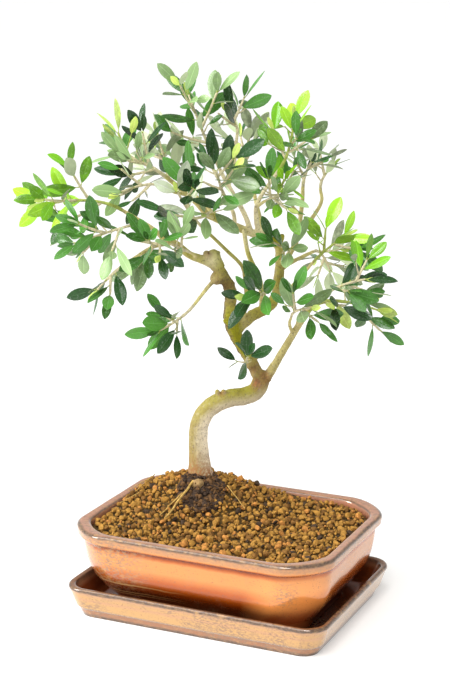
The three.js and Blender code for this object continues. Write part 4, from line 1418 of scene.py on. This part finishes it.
def make_vessel(name, material_name, profile, outline, look, glaze):
    """A lofted, glazed vessel with the distance along its profile kept as its level."""
    line = filled_in(soft_profile(profile), PROFILE_STEP)
    walked = np.concatenate([[0], np.cumsum(np.linalg.norm(np.diff(line, axis=0), axis=1))])
    corners = [walked[np.linalg.norm(line - corner[:2], axis=1).argmin()] for corner in profile]
    colours = colours_of(glaze)
    # The foot's colour: the low glaze made darker, partly painted shade.
    colours["char"] = toned(colours["burnt_and_shade"], CHAR_AND_SHADE_TONE)
    colours["warm"] = tuple((a + b) / 2 for a, b in zip(colours["honey"], colours["rim"]))
    material = glaze_material(material_name, look, corners, walked[-1], colours)
    rings = []
    for z, inset in line:
        flat = closed_line(outline(inset))
        rings.append(np.column_stack([flat, np.full(len(flat), z)]))
    points, faces = skin(rings)
    push = ripple(points, [WOBBLE_WAVE]) * glaze.wobble / MM
    out = np.column_stack([points[:, :2], np.zeros(len(points))])
    out /= np.linalg.norm(out, axis=1)[:, None]
    lifted = np.clip(points[:, 2] / WOBBLE_HEIGHT, 0, 1)
    points = points + out * (push * lifted)[:, None]
    level = np.repeat(walked / walked[-1], len(rings[0]))
    return make_piece(name, points, faces, [material], VESSEL_SHARP, levels={"level": level})


def make_pot(glaze):
    """The copper-glazed pot."""
    pot = make_vessel("glazed_pot", "copper_glazed_stoneware", POT_PROFILE, pot_outline, POT_GLAZE, glaze)
    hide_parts("pot")


def make_tray(glaze):
    """The honey-glazed drip tray."""
    tray = make_vessel("glazed_tray", "honey_glazed_stoneware", TRAY_PROFILE, tray_outline, TRAY_GLAZE, glaze)
    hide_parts("drip_tray")


# Soil and roots.


def ball_share(x, y):
    """How far from the root ball's middle a point of the tree's floor plan lies, as a share of its reach."""
    return math.hypot((x - BALL_MIDDLE[0]) / BALL_REACH[0], (y - BALL_MIDDLE[1]) / BALL_REACH[1])


def in_ball(x, y):
    """Whether a point of the part's floor plan lies on the root ball, whose edge is uneven."""
    across, deep = ((x, y) - TREE_FOOT[:2]) @ TREE_AXES[:2, :2]
    uneven = noise.noise((x / BALL_EDGE_LENGTH, y / BALL_EDGE_LENGTH, 0)) - BALL_EDGE_SHIFT
    return ball_share(across, deep) < 1 + BALL_EDGE * uneven


def on_ball(share, angle):
    """A point of the root ball's floor plan in the tree's axes."""
    x = BALL_MIDDLE[0] + BALL_REACH[0] * share * np.cos(angle)
    y = BALL_MIDDLE[1] + BALL_REACH[1] * share * np.sin(angle)
    return x, y


def ball_rise(share):
    """How high the root ball stands over the soil at a share of its reach."""
    return BALL_RISE * max(0, 1 - share**BALL_FLATNESS)


def ball_top(x, y):
    """Height of the soil or the root ball at a point of the tree's floor plan."""
    part_x, part_y, _ = to_part(np.array([x, y, 0.0]))
    return soil_height(part_x, part_y) + ball_rise(ball_share(x, y)) - TREE_FOOT[2]


def inside_pot(points, inset):
    """Which points of the floor plan lie inside the pot's outline."""
    outline = pot_outline(inset)
    along = np.roll(outline, -1, axis=0) - outline
    away = points[:, None] - outline
    return (along[:, 0] * away[..., 1] - along[:, 1] * away[..., 0] > 0).all(1)


def make_soil_bed(material):
    """The closed bed of fine soil that fills the pot under the granules."""
    rings = [np.insert(pot_outline(inset), 2, z, axis=1) for z, inset in SOIL_WALL]
    edge = pot_outline(SOIL_EDGE_INSET)
    for share in SOIL_RINGS:
        flat = TREE_FOOT[:2] + (edge - TREE_FOOT[:2]) * share
        rings.append(np.column_stack([flat, mound_height(*flat.T) - SOIL_BED_DROP]))
    bed = make_piece("soil_bed", *skin(rings), [material], SOIL_SHARP)
    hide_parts("soil")


def lump_shapes(random):
    """Angular lumps of unit size: a ball with a few flats broken off it, as (points of each, faces)."""
    ball = bmesh.new()
    bmesh.ops.create_icosphere(ball, subdivisions=GRAIN_DETAIL, radius=1)
    directions = np.array([v.co for v in ball.verts])
    faces = np.array([[v.index for v in face.verts] for face in ball.faces])
    ball.free()
    shapes = []
    for _ in range(GRAIN_SHAPES):
        points = directions * (1 + GRAIN_BUMPS * random.standard_normal(len(directions)))[:, None]
        for _ in range(GRAIN_FLATS):
            flat = unit(random.standard_normal(3))
            beyond = np.maximum(points @ flat - random.uniform(*GRAIN_FLAT_AT), 0)
            points = points - beyond[:, None] * flat
        shapes.append(points)
    return np.array(shapes), faces


def grain_places(soil, random):
    """Where granules lie: larger ones first, each clear of those before it, as rows of x, y and width."""
    share = np.sort(random.uniform(0, 1, GRAIN_TRIES))[::-1] ** GRAIN_FEW_LARGE
    widths = (soil.grain_least + (soil.grain_most - soil.grain_least) * share) / MM
    cell = soil.grain_most / MM
    grid = {}
    placed = []
    tries = random.uniform(-0.5, 0.5, (GRAIN_TRIES, 2)) * (POT_LENGTH, POT_WIDTH) + POT_MIDDLE
    inside = inside_pot(tries, SOIL_EDGE_INSET + GRAIN_WALL)
    for (x, y), width in zip(tries[inside], widths[inside]):
        if in_ball(x, y):
            continue
        column = int(x // cell)
        row = int(y // cell)
        near = [
            grain
            for i in range(column - 1, column + 2)
            for j in range(row - 1, row + 2)
            for grain in grid.get((i, j), ())
        ]
        if all(math.hypot(x - a, y - b) > (width + w) / 2 * GRAIN_OVERLAP for a, b, w in near):
            grid.setdefault((column, row), []).append((x, y, width))
            placed.append((x, y, width))
    return np.array(placed)


def make_lumps(name, places, widths, random, material):
    """One piece of many angular lumps at places."""
    shapes, faces = lump_shapes(random)
    count = len(places)
    scale = widths[:, None] / 2 * random.uniform(GRAIN_SLIMMEST, GRAIN_FULLEST, (count, 3))
    lumps = shapes[random.randint(0, GRAIN_SHAPES, count)] * scale[:, None, :]
    turns = [Quaternion(q).normalized().to_matrix() for q in random.standard_normal((count, 4))]
    lumps = np.einsum("nij,nkj->nki", np.array(turns), lumps) + places[:, None, :]
    steps = np.arange(count)[:, None, None] * lumps.shape[1]
    all_faces = (faces[None] + steps).reshape(-1, 3)
    grains = make_piece(name, lumps.reshape(-1, 3), all_faces.tolist(), [material], GRAIN_SHARP)


def edge_places():
    """Where granules lie on the steep edge of the heap, in rows one above the other."""
    outline = pot_outline(SOIL_EDGE_INSET + EDGE_INSET)
    line = filled_in(np.vstack([outline, outline[:1]]), EDGE_STEP)[1:]
    return np.array([
        (x, y, z) for x, y in line for z in np.arange(EDGE_FOOT, soil_height(x, y) - EDGE_STEP / 2, EDGE_STEP)
    ])


def make_granules(soil, colours):
    """Granules all over the soil, and on the steep edge of its heap."""
    random = np.random.RandomState(soil.seed)
    x, y, width = grain_places(soil, random).T
    z = soil_height(x, y) + GRAIN_RISE * width + random.uniform(-GRAIN_UNEVEN, GRAIN_UNEVEN, len(x))
    edge = edge_places()
    edge = edge + random.uniform(-EDGE_SWAY, EDGE_SWAY, edge.shape)
    places = np.vstack([np.column_stack([x, y, z]), edge])
    width = np.concatenate([width, random.uniform(*EDGE_WIDTH, len(edge))])
    kind_of = random.choice(len(GRAIN_KINDS), len(places), p=list(GRAIN_KINDS.values()))
    for i, kind in enumerate(GRAIN_KINDS):
        chosen = kind_of == i
        material = granule_material(f"baked_clay_{kind}", colours[kind])
        make_lumps(f"clay_granules_{kind}", places[chosen], width[chosen], random, material)


def make_root_ball(material):
    """The lump of dark, fibrous soil that still holds together round the trunk's foot."""
    rings = []
    for share in np.linspace(*BALL_SHARES, BALL_RINGS):
        flat = to_part(np.column_stack([*on_ball(share, all_round(BALL_SIDES)), np.zeros(BALL_SIDES)]))
        rise = ball_rise(share) - (BALL_SKIRT if share > 1 else 0)
        flat[:, 2] = soil_height(flat[:, 0], flat[:, 1]) + rise
        rings.append(flat)
    points, faces = skin(rings)
    points[:, 2] += ripple(points, BALL_LUMPS)
    ball = make_piece("root_ball", points, faces, [material], BALL_SHARP)


def make_crumbs(kinds):
    """Crumbs of earth that cling to the root ball, of each material."""
    for i, (name, material) in enumerate(kinds.items()):
        random = np.random.RandomState(CRUMB_SEED + i)
        angle = random.uniform(0, 2 * math.pi, CRUMBS)
        share = np.sqrt(random.uniform(0, 1, CRUMBS)) * CRUMB_REACH
        x, y = on_ball(share, angle)
        z = [ball_top(*place) for place in zip(x, y)] + random.uniform(*CRUMB_LIFT, CRUMBS)
        widths = random.uniform(*CRUMB_WIDTH, CRUMBS)
        make_lumps(f"root_ball_{name}", to_part(np.column_stack([x, y, z])), widths, random, material)


def straw_tube(straw, random):
    """A dry root that lies on the soil, a little bent."""
    start, end, lift, end_lift, thick = straw
    steps = np.linspace(0, 1, ROOT_RINGS)
    flat = np.outer(1 - steps, start) + np.outer(steps, end)
    foot = ball_top(*start) + lift
    z = foot + (ball_top(*end) + end_lift - foot) * steps
    line = to_part(np.column_stack([flat + random.uniform(-STRAW_SWAY, STRAW_SWAY, flat.shape), z]))
    return tube(line, np.linspace(thick, thick * STRAW_TAPER, ROOT_RINGS) / 2, STRAW_SIDES)


def fibre_tube(random):
    """A fine root that creeps over the root ball towards the front."""
    heading = random.uniform(math.pi, 2 * math.pi)
    x = BALL_MIDDLE[0] + random.uniform(*FIBRE_ACROSS)
    y = BALL_MIDDLE[1] + random.uniform(*FIBRE_DEEP)
    line = []
    for _ in range(ROOT_RINGS):
        line.append((x, y, ball_top(x, y) + random.uniform(*FIBRE_LIFT)))
        heading += random.uniform(*FIBRE_BEND)
        x += FIBRE_STEP * math.cos(heading)
        y += FIBRE_STEP * math.sin(heading)
    return tube(to_part(line), np.linspace(*FIBRE_RADII, ROOT_RINGS), FIBRE_SIDES)


def cut_root_skin():
    """A short root that was cut, with the hollow in its cut end."""
    x, y = CUT_ROOT
    foot = np.array([x, y, ball_top(x, y) + CUT_ROOT_LIFT])
    ahead = unit(CUT_ROOT_AHEAD)
    side = unit(np.cross(ahead, UP))
    other = np.cross(side, ahead)
    angles = all_round(CUT_ROOT_SIDES)
    circle = np.outer(np.cos(angles), side) - np.outer(np.sin(angles), other)
    rings = [foot + ahead * on + circle * CUT_ROOT_RADIUS * wide for on, wide in CUT_ROOT_RINGS]
    points, faces = skin([to_part(ring) for ring in rings])
    points += ripple(points, [CUT_ROOT_LUMPS])[:, None] * ahead
    return points, faces


def make_roots(pale, brown, cut):
    """Dry roots that lie on the soil, the fibres over the root ball and one root that was cut."""
    random = np.random.RandomState(FIBRE_SEED)
    straws = joined([straw_tube(straw, random) for straw in STRAWS])
    make_piece("straw_roots", *straws, [pale], SOIL_SHARP)
    fibres = joined([fibre_tube(random) for _ in range(FIBRES)])
    make_piece("root_fibres", *fibres, [brown], SOIL_SHARP)
    make_piece("cut_root", *cut_root_skin(), [cut], VESSEL_SHARP)


# Trunk and boughs.


def wood_tubes():
    """Tubes for all limbs, knobs and stubs, which the weld makes one."""
    parts = []
    for name, line, length in limb_lines():
        count = max(LIMB_RINGS_LEAST, int(length / WOOD_STEP))
        shares = np.arange(count + 1) / count
        points = [line(s) for s in shares]
        radii = [limb_radius(name, s, length) for s in shares]
        if name == "trunk":
            points.insert(0, points[0] - UP * TRUNK_SUNK)
            radii.insert(0, radii[0] + TRUNK_SUNK_FLARE)
        parts.append(tube(*round_tips(points, radii), LIMB_SIDES))
    foot, tip, path = INNER_STEM
    line = limb_line(path)
    points = [line(s) for s in np.linspace(0, 1, INNER_STEM_RINGS)]
    parts.append(tube(points, np.linspace(foot, tip, INNER_STEM_RINGS) / 2, LIMB_SIDES))
    for start, end, foot, tip in KNOBS:
        shares = np.linspace(0, 1, KNOB_RINGS)
        points = np.outer(1 - shares, start) + np.outer(shares, end)
        parts.append(tube(*round_tips(points, np.linspace(foot, tip, KNOB_RINGS) / 2), LIMB_SIDES))
    return joined(parts)


def welded(points, faces, voxel):
    """One skin over overlapping tubes, as (points, normals, faces)."""
    mesh = bpy.data.meshes.new("weld")
    mesh.from_pydata((points * MM).tolist(), [], faces)
    made = bpy.data.objects.new("weld", mesh)
    bpy.context.scene.collection.objects.link(made)
    weld = made.modifiers.new("weld", "REMESH")
    weld.mode = "VOXEL"
    weld.voxel_size = voxel
    even = made.modifiers.new("even", "SMOOTH")
    even.factor = SMOOTH_FACTOR
    even.iterations = SMOOTH_PASSES
    solid = made.evaluated_get(bpy.context.evaluated_depsgraph_get()).to_mesh()
    skin_points = np.array([v.co for v in solid.vertices]) / MM
    normals = np.array([v.normal for v in solid.vertices])
    skin_faces = [list(p.vertices) for p in solid.polygons]
    bpy.data.objects.remove(made)
    return skin_points, normals, skin_faces


def limb_marks():
    """Points along all limbs, with each one's direction, limb, share and radius."""
    rows = []
    for i, (name, line, length) in enumerate(limb_lines()):
        count = max(MARKS_LEAST, int(length / MARK_STEP))
        for share in np.arange(count + 1) / count:
            rows.append((line(share), tangent_at(line, share), i, share, limb_radius(name, share, length)))
    return [np.array(column) for column in zip(*rows)]


def fading(points, place, reach):
    """How near points are to a place: 1 on it, fading over a reach."""
    return np.exp(-((np.linalg.norm(points - place, axis=1) / reach) ** 2))


def wood_looks(points, normals):
    """For each point of the wood: how old, rough, green, pale and stained it is, with painted light and shade
    in the green and the pale, and its limb's direction.
    """
    at, directions, limb, share, radius = limb_marks()
    names = list(LIMBS)
    rough_of = np.array([ROUGHNESS.get(name, PLAIN_ROUGHNESS) for name in names])
    green_and_painted_light_of = np.array([GREEN_AND_PAINTED_LIGHT.get(name, PLAIN_GREEN_AND_PAINTED_LIGHT) for name in names])
    pale_of = np.array([PALENESS.get(name, 0) for name in names])
    starts, fulls = np.array([GREEN_AND_LIGHT_STARTS.get(name, GREEN_AND_LIGHT_START) for name in names]).T
    greened = np.clip((share - starts[limb]) / (fulls - starts)[limb], 0, 1)
    marked = {
        "old": radius,
        "rough": rough_of[limb] * np.clip(share * ROUGH_GAIN, ROUGH_FOOT, 1),
        "sunny": green_and_painted_light_of[limb] * greened,
        "pale": pale_of[limb],
        "trunk": limb == names.index("trunk"),
    }
    looks = {key: np.zeros(len(points)) for key in marked}
    ahead = np.zeros((len(points), 3))
    for start in range(0, len(points), POINTS_TOGETHER):
        part = slice(start, start + POINTS_TOGETHER)
        apart = np.linalg.norm(points[part, None] - at, axis=2) - radius
        weight = np.exp(-apart / MARK_BLEND)
        weight /= weight.sum(1)[:, None]
        for key, values in marked.items():
            looks[key][part] = weight @ values
        ahead[part] = directions[apart.argmin(1)]
    on_trunk = looks.pop("trunk")
    thin, thick = OLD_RADII
    looks["old"] = np.clip((looks["old"] - thin) / (thick - thin), 0, 1)
    # Painted light and shade: green where the bark faces the painted light, and smoother there.
    facing = on_trunk * (normals @ TRUNK_PAINTED_LIGHT) + (1 - on_trunk) * (normals @ CROWN_PAINTED_LIGHT)
    looks["sunny"] = np.minimum(looks["sunny"] * np.clip(facing + PAINTED_LIGHT_WRAP, 0, 1), 1)
    looks["rough"] *= 1 - PAINTED_LIGHT_SMOOTHS * looks["sunny"]
    height = np.maximum(points[:, 2], 0)
    # Painted highlight: below the fork the trunk's side away from the painted light is made pale.
    below_fork = np.clip((PAINTED_HIGHLIGHT_TOP - height) / PAINTED_HIGHLIGHT_FADE, 0, 1)
    looks["pale"] += on_trunk * below_fork * np.clip(PAINTED_HIGHLIGHT_SIDE - PAINTED_HIGHLIGHT_TURN * facing, 0, 1)
    looks["stain"] = np.exp(-((height / FOOT_STAIN) ** 2))
    for place, reach, stain, rough in SCARS:
        near = fading(points, place, reach)
        looks["stain"] = np.maximum(looks["stain"], stain * near)
        looks["rough"] = np.maximum(looks["rough"], rough * near)
        looks["sunny"] *= 1 - rough * near
    for place, reach, pale in PALE_SPOTS:
        looks["pale"] = np.maximum(looks["pale"], pale * fading(points, place, reach))
    return looks, ahead


def make_wood(bark):
    """The trunk and all boughs as one skin with the bark's relief."""
    points, normals, faces = welded(*wood_tubes(), bark.voxel)
    looks, ahead = wood_looks(points, normals)
    along = points - RIDGE_STRETCH * (points * ahead).sum(1)[:, None] * ahead
    depth = bark.relief / MM * (SMOOTH_RELIEF + looks["rough"])
    thick = THIN_RELIEF + (1 - THIN_RELIEF) * looks["old"]
    push = depth * thick * (ripple(along, RIDGES) + ripple(points, LUMPS))
    points = points + normals * push[:, None]
    material = bark_material(colours_of(bark))
    wood = make_piece("trunk_and_boughs", to_part(points), faces, [material], NEVER_SHARP, levels=looks)
    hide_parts(*(name for name in LIMBS if name not in JOINED_SPURS))


# Twigs and leaves.


def twig_tube(shoot, sunk):
    """A shoot's tube, which starts inside what it grows from."""
    shares = np.linspace(0, 1, TWIG_RINGS)
    points = [shoot.line(s) for s in shares]
    points[0] = points[0] - tangent_at(shoot.line, 0) * sunk
    radius = shoot_radius(shoot)
    nodes = np.abs(np.sin(math.pi * shares * shoot.length / INTERNODE)) ** NODE_SHARPNESS
    radii = [radius(s) * (1 + NODE_SWELL * node) for s, node in zip(shares, nodes)]
    return tube(*round_tips(points, radii), TWIG_SIDES)


def stalk_tube(leaf):
    """A leaf's stalk, from its shoot to a little way up the blade."""
    reach = leaf.length * STALK_SHARE * STALK_REACH
    line = [leaf.root + leaf.along * reach * s for s in (0, 0.5, 1)]
    return tube(line, STALK_WIDTHS / 2, STALK_SIDES)


def make_twigs(plants, bark):
    """All shoots, the green ones apart, and the stalks of the leaves."""
    brown = []
    green = []
    stalks = []
    for plant in plants:
        for i, shoot in enumerate(plant.shoots + plant.fine):
            chosen = green if shoot.kind in YOUNG_KINDS else brown
            chosen.append(twig_tube(shoot, STEM_SUNK if i == 0 else SHOOT_SUNK))
        stalks += [stalk_tube(leaf) for leaf in plant.leaves]
    colours = colours_of(bark)

    def make_thin(name, tubes, material_name, colour):
        points, faces = joined(tubes)
        material = fibre_material(material_name, colour, TWIG_LOOK)
        return make_piece(name, to_part(points), faces, [material], NEVER_SHARP)

    make_thin("twigs", brown, "young_olive_bark", colours["twig"])
    make_thin("green_shoots", green, "green_olive_bark", colours["shoot"])
    make_thin("leaf_stalks", stalks, "leaf_stalk", colours["shoot"])


def blade_outline(t):
    """Half width along the blade, as a share of the widest."""
    widest = BLADE_FOOT / (BLADE_FOOT + BLADE_TIP)
    most = widest**BLADE_FOOT * (1 - widest) ** BLADE_TIP
    return np.maximum(t**BLADE_FOOT * (1 - t) ** BLADE_TIP / most, BLADE_NARROWEST)


def blade_faces():
    """The faces of one closed blade, whose two sides share their edges, and each face's material."""
    columns = len(BLADE_COLUMNS)
    grid = np.arange((BLADE_ROWS + 1) * columns).reshape(-1, columns)
    below = np.arange((BLADE_ROWS + 1) * (columns - 2)).reshape(-1, columns - 2) + grid.size
    below = np.column_stack([grid[:, 0], below, grid[:, -1]])
    faces = []
    kinds = []
    for r in range(BLADE_ROWS):
        for c in range(columns - 1):
            faces.append((grid[r, c], grid[r + 1, c], grid[r + 1, c + 1], grid[r, c + 1]))
            kinds.append(RIB if c == columns // 2 - 1 else UPPER_SIDE)
            faces.append((below[r, c], below[r, c + 1], below[r + 1, c + 1], below[r + 1, c]))
            kinds.append(UNDERSIDE)
    return np.array(faces), kinds


def blade_meshes(leaves, random):
    """All blades of one kind: closed thin meshes with an upper side, an underside and a rib."""
    rows = (1 - np.cos(np.linspace(0, math.pi, BLADE_ROWS + 1))) / 2
    count = len(leaves)
    fold = random.uniform(*BLADE_FOLD, (count, 1, 1))
    droop = random.uniform(*BLADE_DROOP, (count, 1, 1))
    twist = random.uniform(*BLADE_TWIST, (count, 1, 1))
    length = np.array([leaf.length for leaf in leaves])[:, None, None]
    widest = np.array([leaf.half * BLADE_WIDTH for leaf in leaves])[:, None, None]
    half = widest * blade_outline(rows)[None, :, None]
    share = (STALK_SHARE + (1 - STALK_SHARE) * rows)[None, :, None]
    v = BLADE_COLUMNS[None, None, :]
    across = half * v
    up = half * (fold * np.abs(v) - BLADE_ROLL * v**4) - droop * length * share**2 + across * twist * share
    forward = length * (share + np.zeros_like(v))
    near_rib = np.abs(v) < RIB_HALF
    top = up + BLADE_THICK / 2 * (1 - v**2) - RIB_GROOVE * near_rib
    low = up - BLADE_THICK / 2 * (1 - v**2) - RIB_DEPTH * near_rib * (1 - share)
    axes = [np.array([getattr(leaf, key) for leaf in leaves]) for key in ("root", "along", "across", "face")]
    root, along, sideways, face = (axis[:, None, None, :] for axis in axes)
    level = root + forward[..., None] * along + across[..., None] * sideways
    upper = level + top[..., None] * face
    under = (level + low[..., None] * face)[:, :, 1:-1]
    points = np.concatenate([upper.reshape(count, -1, 3), under.reshape(count, -1, 3)], axis=1)
    faces, kinds = blade_faces()
    steps = np.arange(count)[:, None, None] * points.shape[1]
    tone = np.repeat(random.uniform(0, 1, count), points.shape[1])
    return points.reshape(-1, 3), (faces[None] + steps).reshape(-1, 4), np.tile(kinds, count), tone


def make_leaves(plants, colours):
    """All leaves, each kind of spray apart."""
    random = np.random.RandomState(BLADE_SEED)
    felt = blade_material("olive_leaf_underside", colours["under"], UNDER_SHEEN)
    grown = {kind: [] for kind in LEAF_KINDS}
    for plant in plants:
        for leaf in plant.leaves:
            grown[leaf.shoot.bud_kind if leaf.is_bud else leaf.shoot.kind].append(leaf)
    for kind, leaves in grown.items():
        colour = colours[kind]
        upper = blade_material(f"olive_leaf_{kind}", colour, UPPER_SHEEN)
        rib = blade_material(f"olive_leaf_rib_{kind}", toned(colour, *RIB_TONE), RIB_SHEEN)
        under = felt
        if kind in YOUNG_KINDS:
            young = toned(colour, YOUNG_UNDER_TONE)
            under = blade_material(f"olive_leaf_underside_{kind}", young, YOUNG_UNDER_SHEEN)
        points, faces, kinds, tone = blade_meshes(leaves, random)
        blades = make_piece(
            f"leaves_{kind}", to_part(points), faces.tolist(), [upper, under, rib], BLADE_SHARP, kinds,
            {"tone": tone},
        )
    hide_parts(*(f"{name}_leaves" for name in MASSES))


# Stage.


def make_camera(lens):
    """The camera, turned round the upright, lifted and rolled."""
    data = bpy.data.cameras.new("camera")
    data.lens = lens
    data.sensor_width = SENSOR_WIDTH
    data.clip_start = CLIP_START
    data.clip_end = CLIP_END
    camera = bpy.data.objects.new("camera", data)
    place = Matrix.Translation(Vector(CAMERA_PLACE) * MM)
    turned = Matrix.Rotation(CAMERA_TURN, 4, "Z")
    lifted = Matrix.Rotation(math.pi / 2 - CAMERA_LIFT, 4, "X")
    rolled = Matrix.Rotation(CAMERA_ROLL, 4, "Z")
    camera.matrix_world = place @ turned @ lifted @ rolled
    bpy.context.scene.collection.objects.link(camera)
    bpy.context.scene.camera = camera


def make_light(name, kind, place, power):
    """A light that is aimed at the tree, as its data."""
    data = bpy.data.lights.new(name, kind)
    data.energy = power
    light = bpy.data.objects.new(name, data)
    light.location = place
    light.rotation_mode = "QUATERNION"
    light.rotation_quaternion = (Vector(LIGHT_AIM) - Vector(place)).to_track_quat("-Z", "Y")
    bpy.context.scene.collection.objects.link(light)
    return data


def make_floor(stage):
    """A plain pale floor that is lit from below too."""
    mesh = bpy.data.meshes.new("floor")
    half = stage.floor_size / 2
    corners = [(-half, -half, 0), (half, -half, 0), (half, half, 0), (-half, half, 0)]
    mesh.from_pydata(corners, [], [(0, 1, 2, 3)])
    pale = toned(stage.floor)
    glow = {"Base Color": pale, "Emission Color": pale, "Emission Strength": stage.glow}
    material, _, _ = new_material("matt_white_paper", PAPER_SHEEN, glow)
    mesh.materials.append(material)
    floor = bpy.data.objects.new("floor", mesh)
    bpy.context.scene.collection.objects.link(floor)


def make_backdrop(stage):
    """A white backdrop all round, which fades to the studio's even light above."""
    world = bpy.data.worlds.new("studio")
    world.use_nodes = True
    tree = world.node_tree
    sky = tree.nodes["Background"]
    sky.inputs["Color"].default_value = toned(stage.backdrop)
    direction = add_node(tree, "ShaderNodeTexCoord", "Generated", {})
    height = add_node(tree, "ShaderNodeSeparateXYZ", "Z", {"Vector": direction})
    fade = add_node(tree, "ShaderNodeMapRange", "Result", {
        "From Max": HORIZON_TOP, "To Min": stage.horizon, "To Max": stage.sky, "Value": height,
    })
    tree.links.new(fade, sky.inputs["Strength"])
    bpy.context.scene.world = world


def make_stage(stage):
    """Floor, backdrop, three soft lights and the camera."""
    make_floor(stage)
    make_backdrop(stage)
    make_light("sun", "SUN", SUN_PLACE, stage.sun).angle = stage.sun_width
    make_light("key_light", "AREA", KEY_PLACE, stage.key).size = LIGHT_SIZE
    make_light("top_light", "AREA", TOP_PLACE, stage.top).size = LIGHT_SIZE
    make_camera(stage.lens)
    bpy.context.scene.view_settings.view_transform = "Standard"


# Operators.

plants_grown = []


def grown_plants():
    """The foliage, grown once and shared by the twigs and the leaves."""
    if not plants_grown:
        plants, room, number = grow_masses()
        deal_kinds(plants)
        grow_finer(plants, room, number)
        plants_grown.extend(plants)
    return plants_grown


class BonsaiOperator:
    """What the bonsai's operators share."""

    bl_options = {"REGISTER", "UNDO"}


class BONSAI_OT_pot(BonsaiOperator, bpy.types.Operator):
    """Make the glazed pot and its drip tray"""

    bl_idname = "bonsai.pot"
    bl_label = "Pot and tray"

    def execute(self, context):
        make_pot(context.scene.bonsai_glaze)
        make_tray(context.scene.bonsai_glaze)
        return {"FINISHED"}


class BONSAI_OT_soil(BonsaiOperator, bpy.types.Operator):
    """Make the soil, its granules and the roots that show"""

    bl_idname = "bonsai.soil"
    bl_label = "Soil and roots"

    def execute(self, context):
        soil = context.scene.bonsai_soil
        colours = colours_of(soil)
        earth = granule_material("dark_earth", colours["earth"])
        make_soil_bed(granule_material("fine_clay_soil", colours["bed"]))
        make_granules(soil, colours)
        make_root_ball(earth)
        make_crumbs({"dark_crumbs": earth, "brown_crumbs": granule_material("damp_earth", colours["damp"])})
        make_roots(
            fibre_material("straw_root", colours["straw"], STRAW_LOOK),
            fibre_material("root_fibre", colours["fibre"], STRAW_LOOK),
            fibre_material("cut_root_wood", colours["cut"], STRAW_LOOK),
        )
        return {"FINISHED"}


class BONSAI_OT_wood(BonsaiOperator, bpy.types.Operator):
    """Make the trunk and the boughs"""

    bl_idname = "bonsai.wood"
    bl_label = "Trunk and boughs"

    def execute(self, context):
        make_wood(context.scene.bonsai_bark)
        return {"FINISHED"}


class BONSAI_OT_twigs(BonsaiOperator, bpy.types.Operator):
    """Make the twigs and leaf stalks"""

    bl_idname = "bonsai.twigs"
    bl_label = "Twigs"

    def execute(self, context):
        make_twigs(grown_plants(), context.scene.bonsai_bark)
        return {"FINISHED"}


class BONSAI_OT_leaves(BonsaiOperator, bpy.types.Operator):
    """Make the leaves"""

    bl_idname = "bonsai.leaves"
    bl_label = "Leaves"

    def execute(self, context):
        make_leaves(grown_plants(), colours_of(context.scene.bonsai_leaves))
        return {"FINISHED"}


class BONSAI_OT_stage(BonsaiOperator, bpy.types.Operator):
    """Make the floor, the lights and the camera"""

    bl_idname = "bonsai.stage"
    bl_label = "Stage"

    def execute(self, context):
        make_stage(context.scene.bonsai_stage)
        return {"FINISHED"}


OPERATORS = (
    BONSAI_OT_stage, BONSAI_OT_pot, BONSAI_OT_soil, BONSAI_OT_wood, BONSAI_OT_twigs, BONSAI_OT_leaves,
)
SETTINGS = {
    "bonsai_glaze": BonsaiGlaze,
    "bonsai_soil": BonsaiSoil,
    "bonsai_bark": BonsaiBark,
    "bonsai_leaves": BonsaiLeaves,
    "bonsai_stage": BonsaiStage,
}


class BONSAI_PT_panel(bpy.types.Panel):
    """The bonsai's operators and settings"""

    bl_idname = "BONSAI_PT_panel"
    bl_label = "Olive bonsai"
    bl_space_type = "VIEW_3D"
    bl_region_type = "UI"
    bl_category = "Bonsai"

    def draw(self, context):
        for operator in OPERATORS:
            self.layout.operator(operator.bl_idname)
        for name, group in SETTINGS.items():
            box = self.layout.box()
            for key in group.__annotations__:
                box.prop(getattr(context.scene, name), key)


CLASSES = (*SETTINGS.values(), *OPERATORS, BONSAI_PT_panel)


def register():
    """Adds the settings, operators and panel."""
    for made in CLASSES:
        bpy.utils.register_class(made)
    for name, group in SETTINGS.items():
        setattr(bpy.types.Scene, name, PointerProperty(type=group))


def unregister():
    """Takes the settings, operators and panel away."""
    for name in SETTINGS:
        delattr(bpy.types.Scene, name)
    for made in reversed(CLASSES):
        bpy.utils.unregister_class(made)


def main():
    """Makes the stage and all pieces."""
    register()
    bpy.ops.bonsai.stage()
    bpy.ops.bonsai.pot()
    bpy.ops.bonsai.soil()
    bpy.ops.bonsai.wood()
    bpy.ops.bonsai.twigs()
    bpy.ops.bonsai.leaves()


if __name__ == "__main__":
    main()
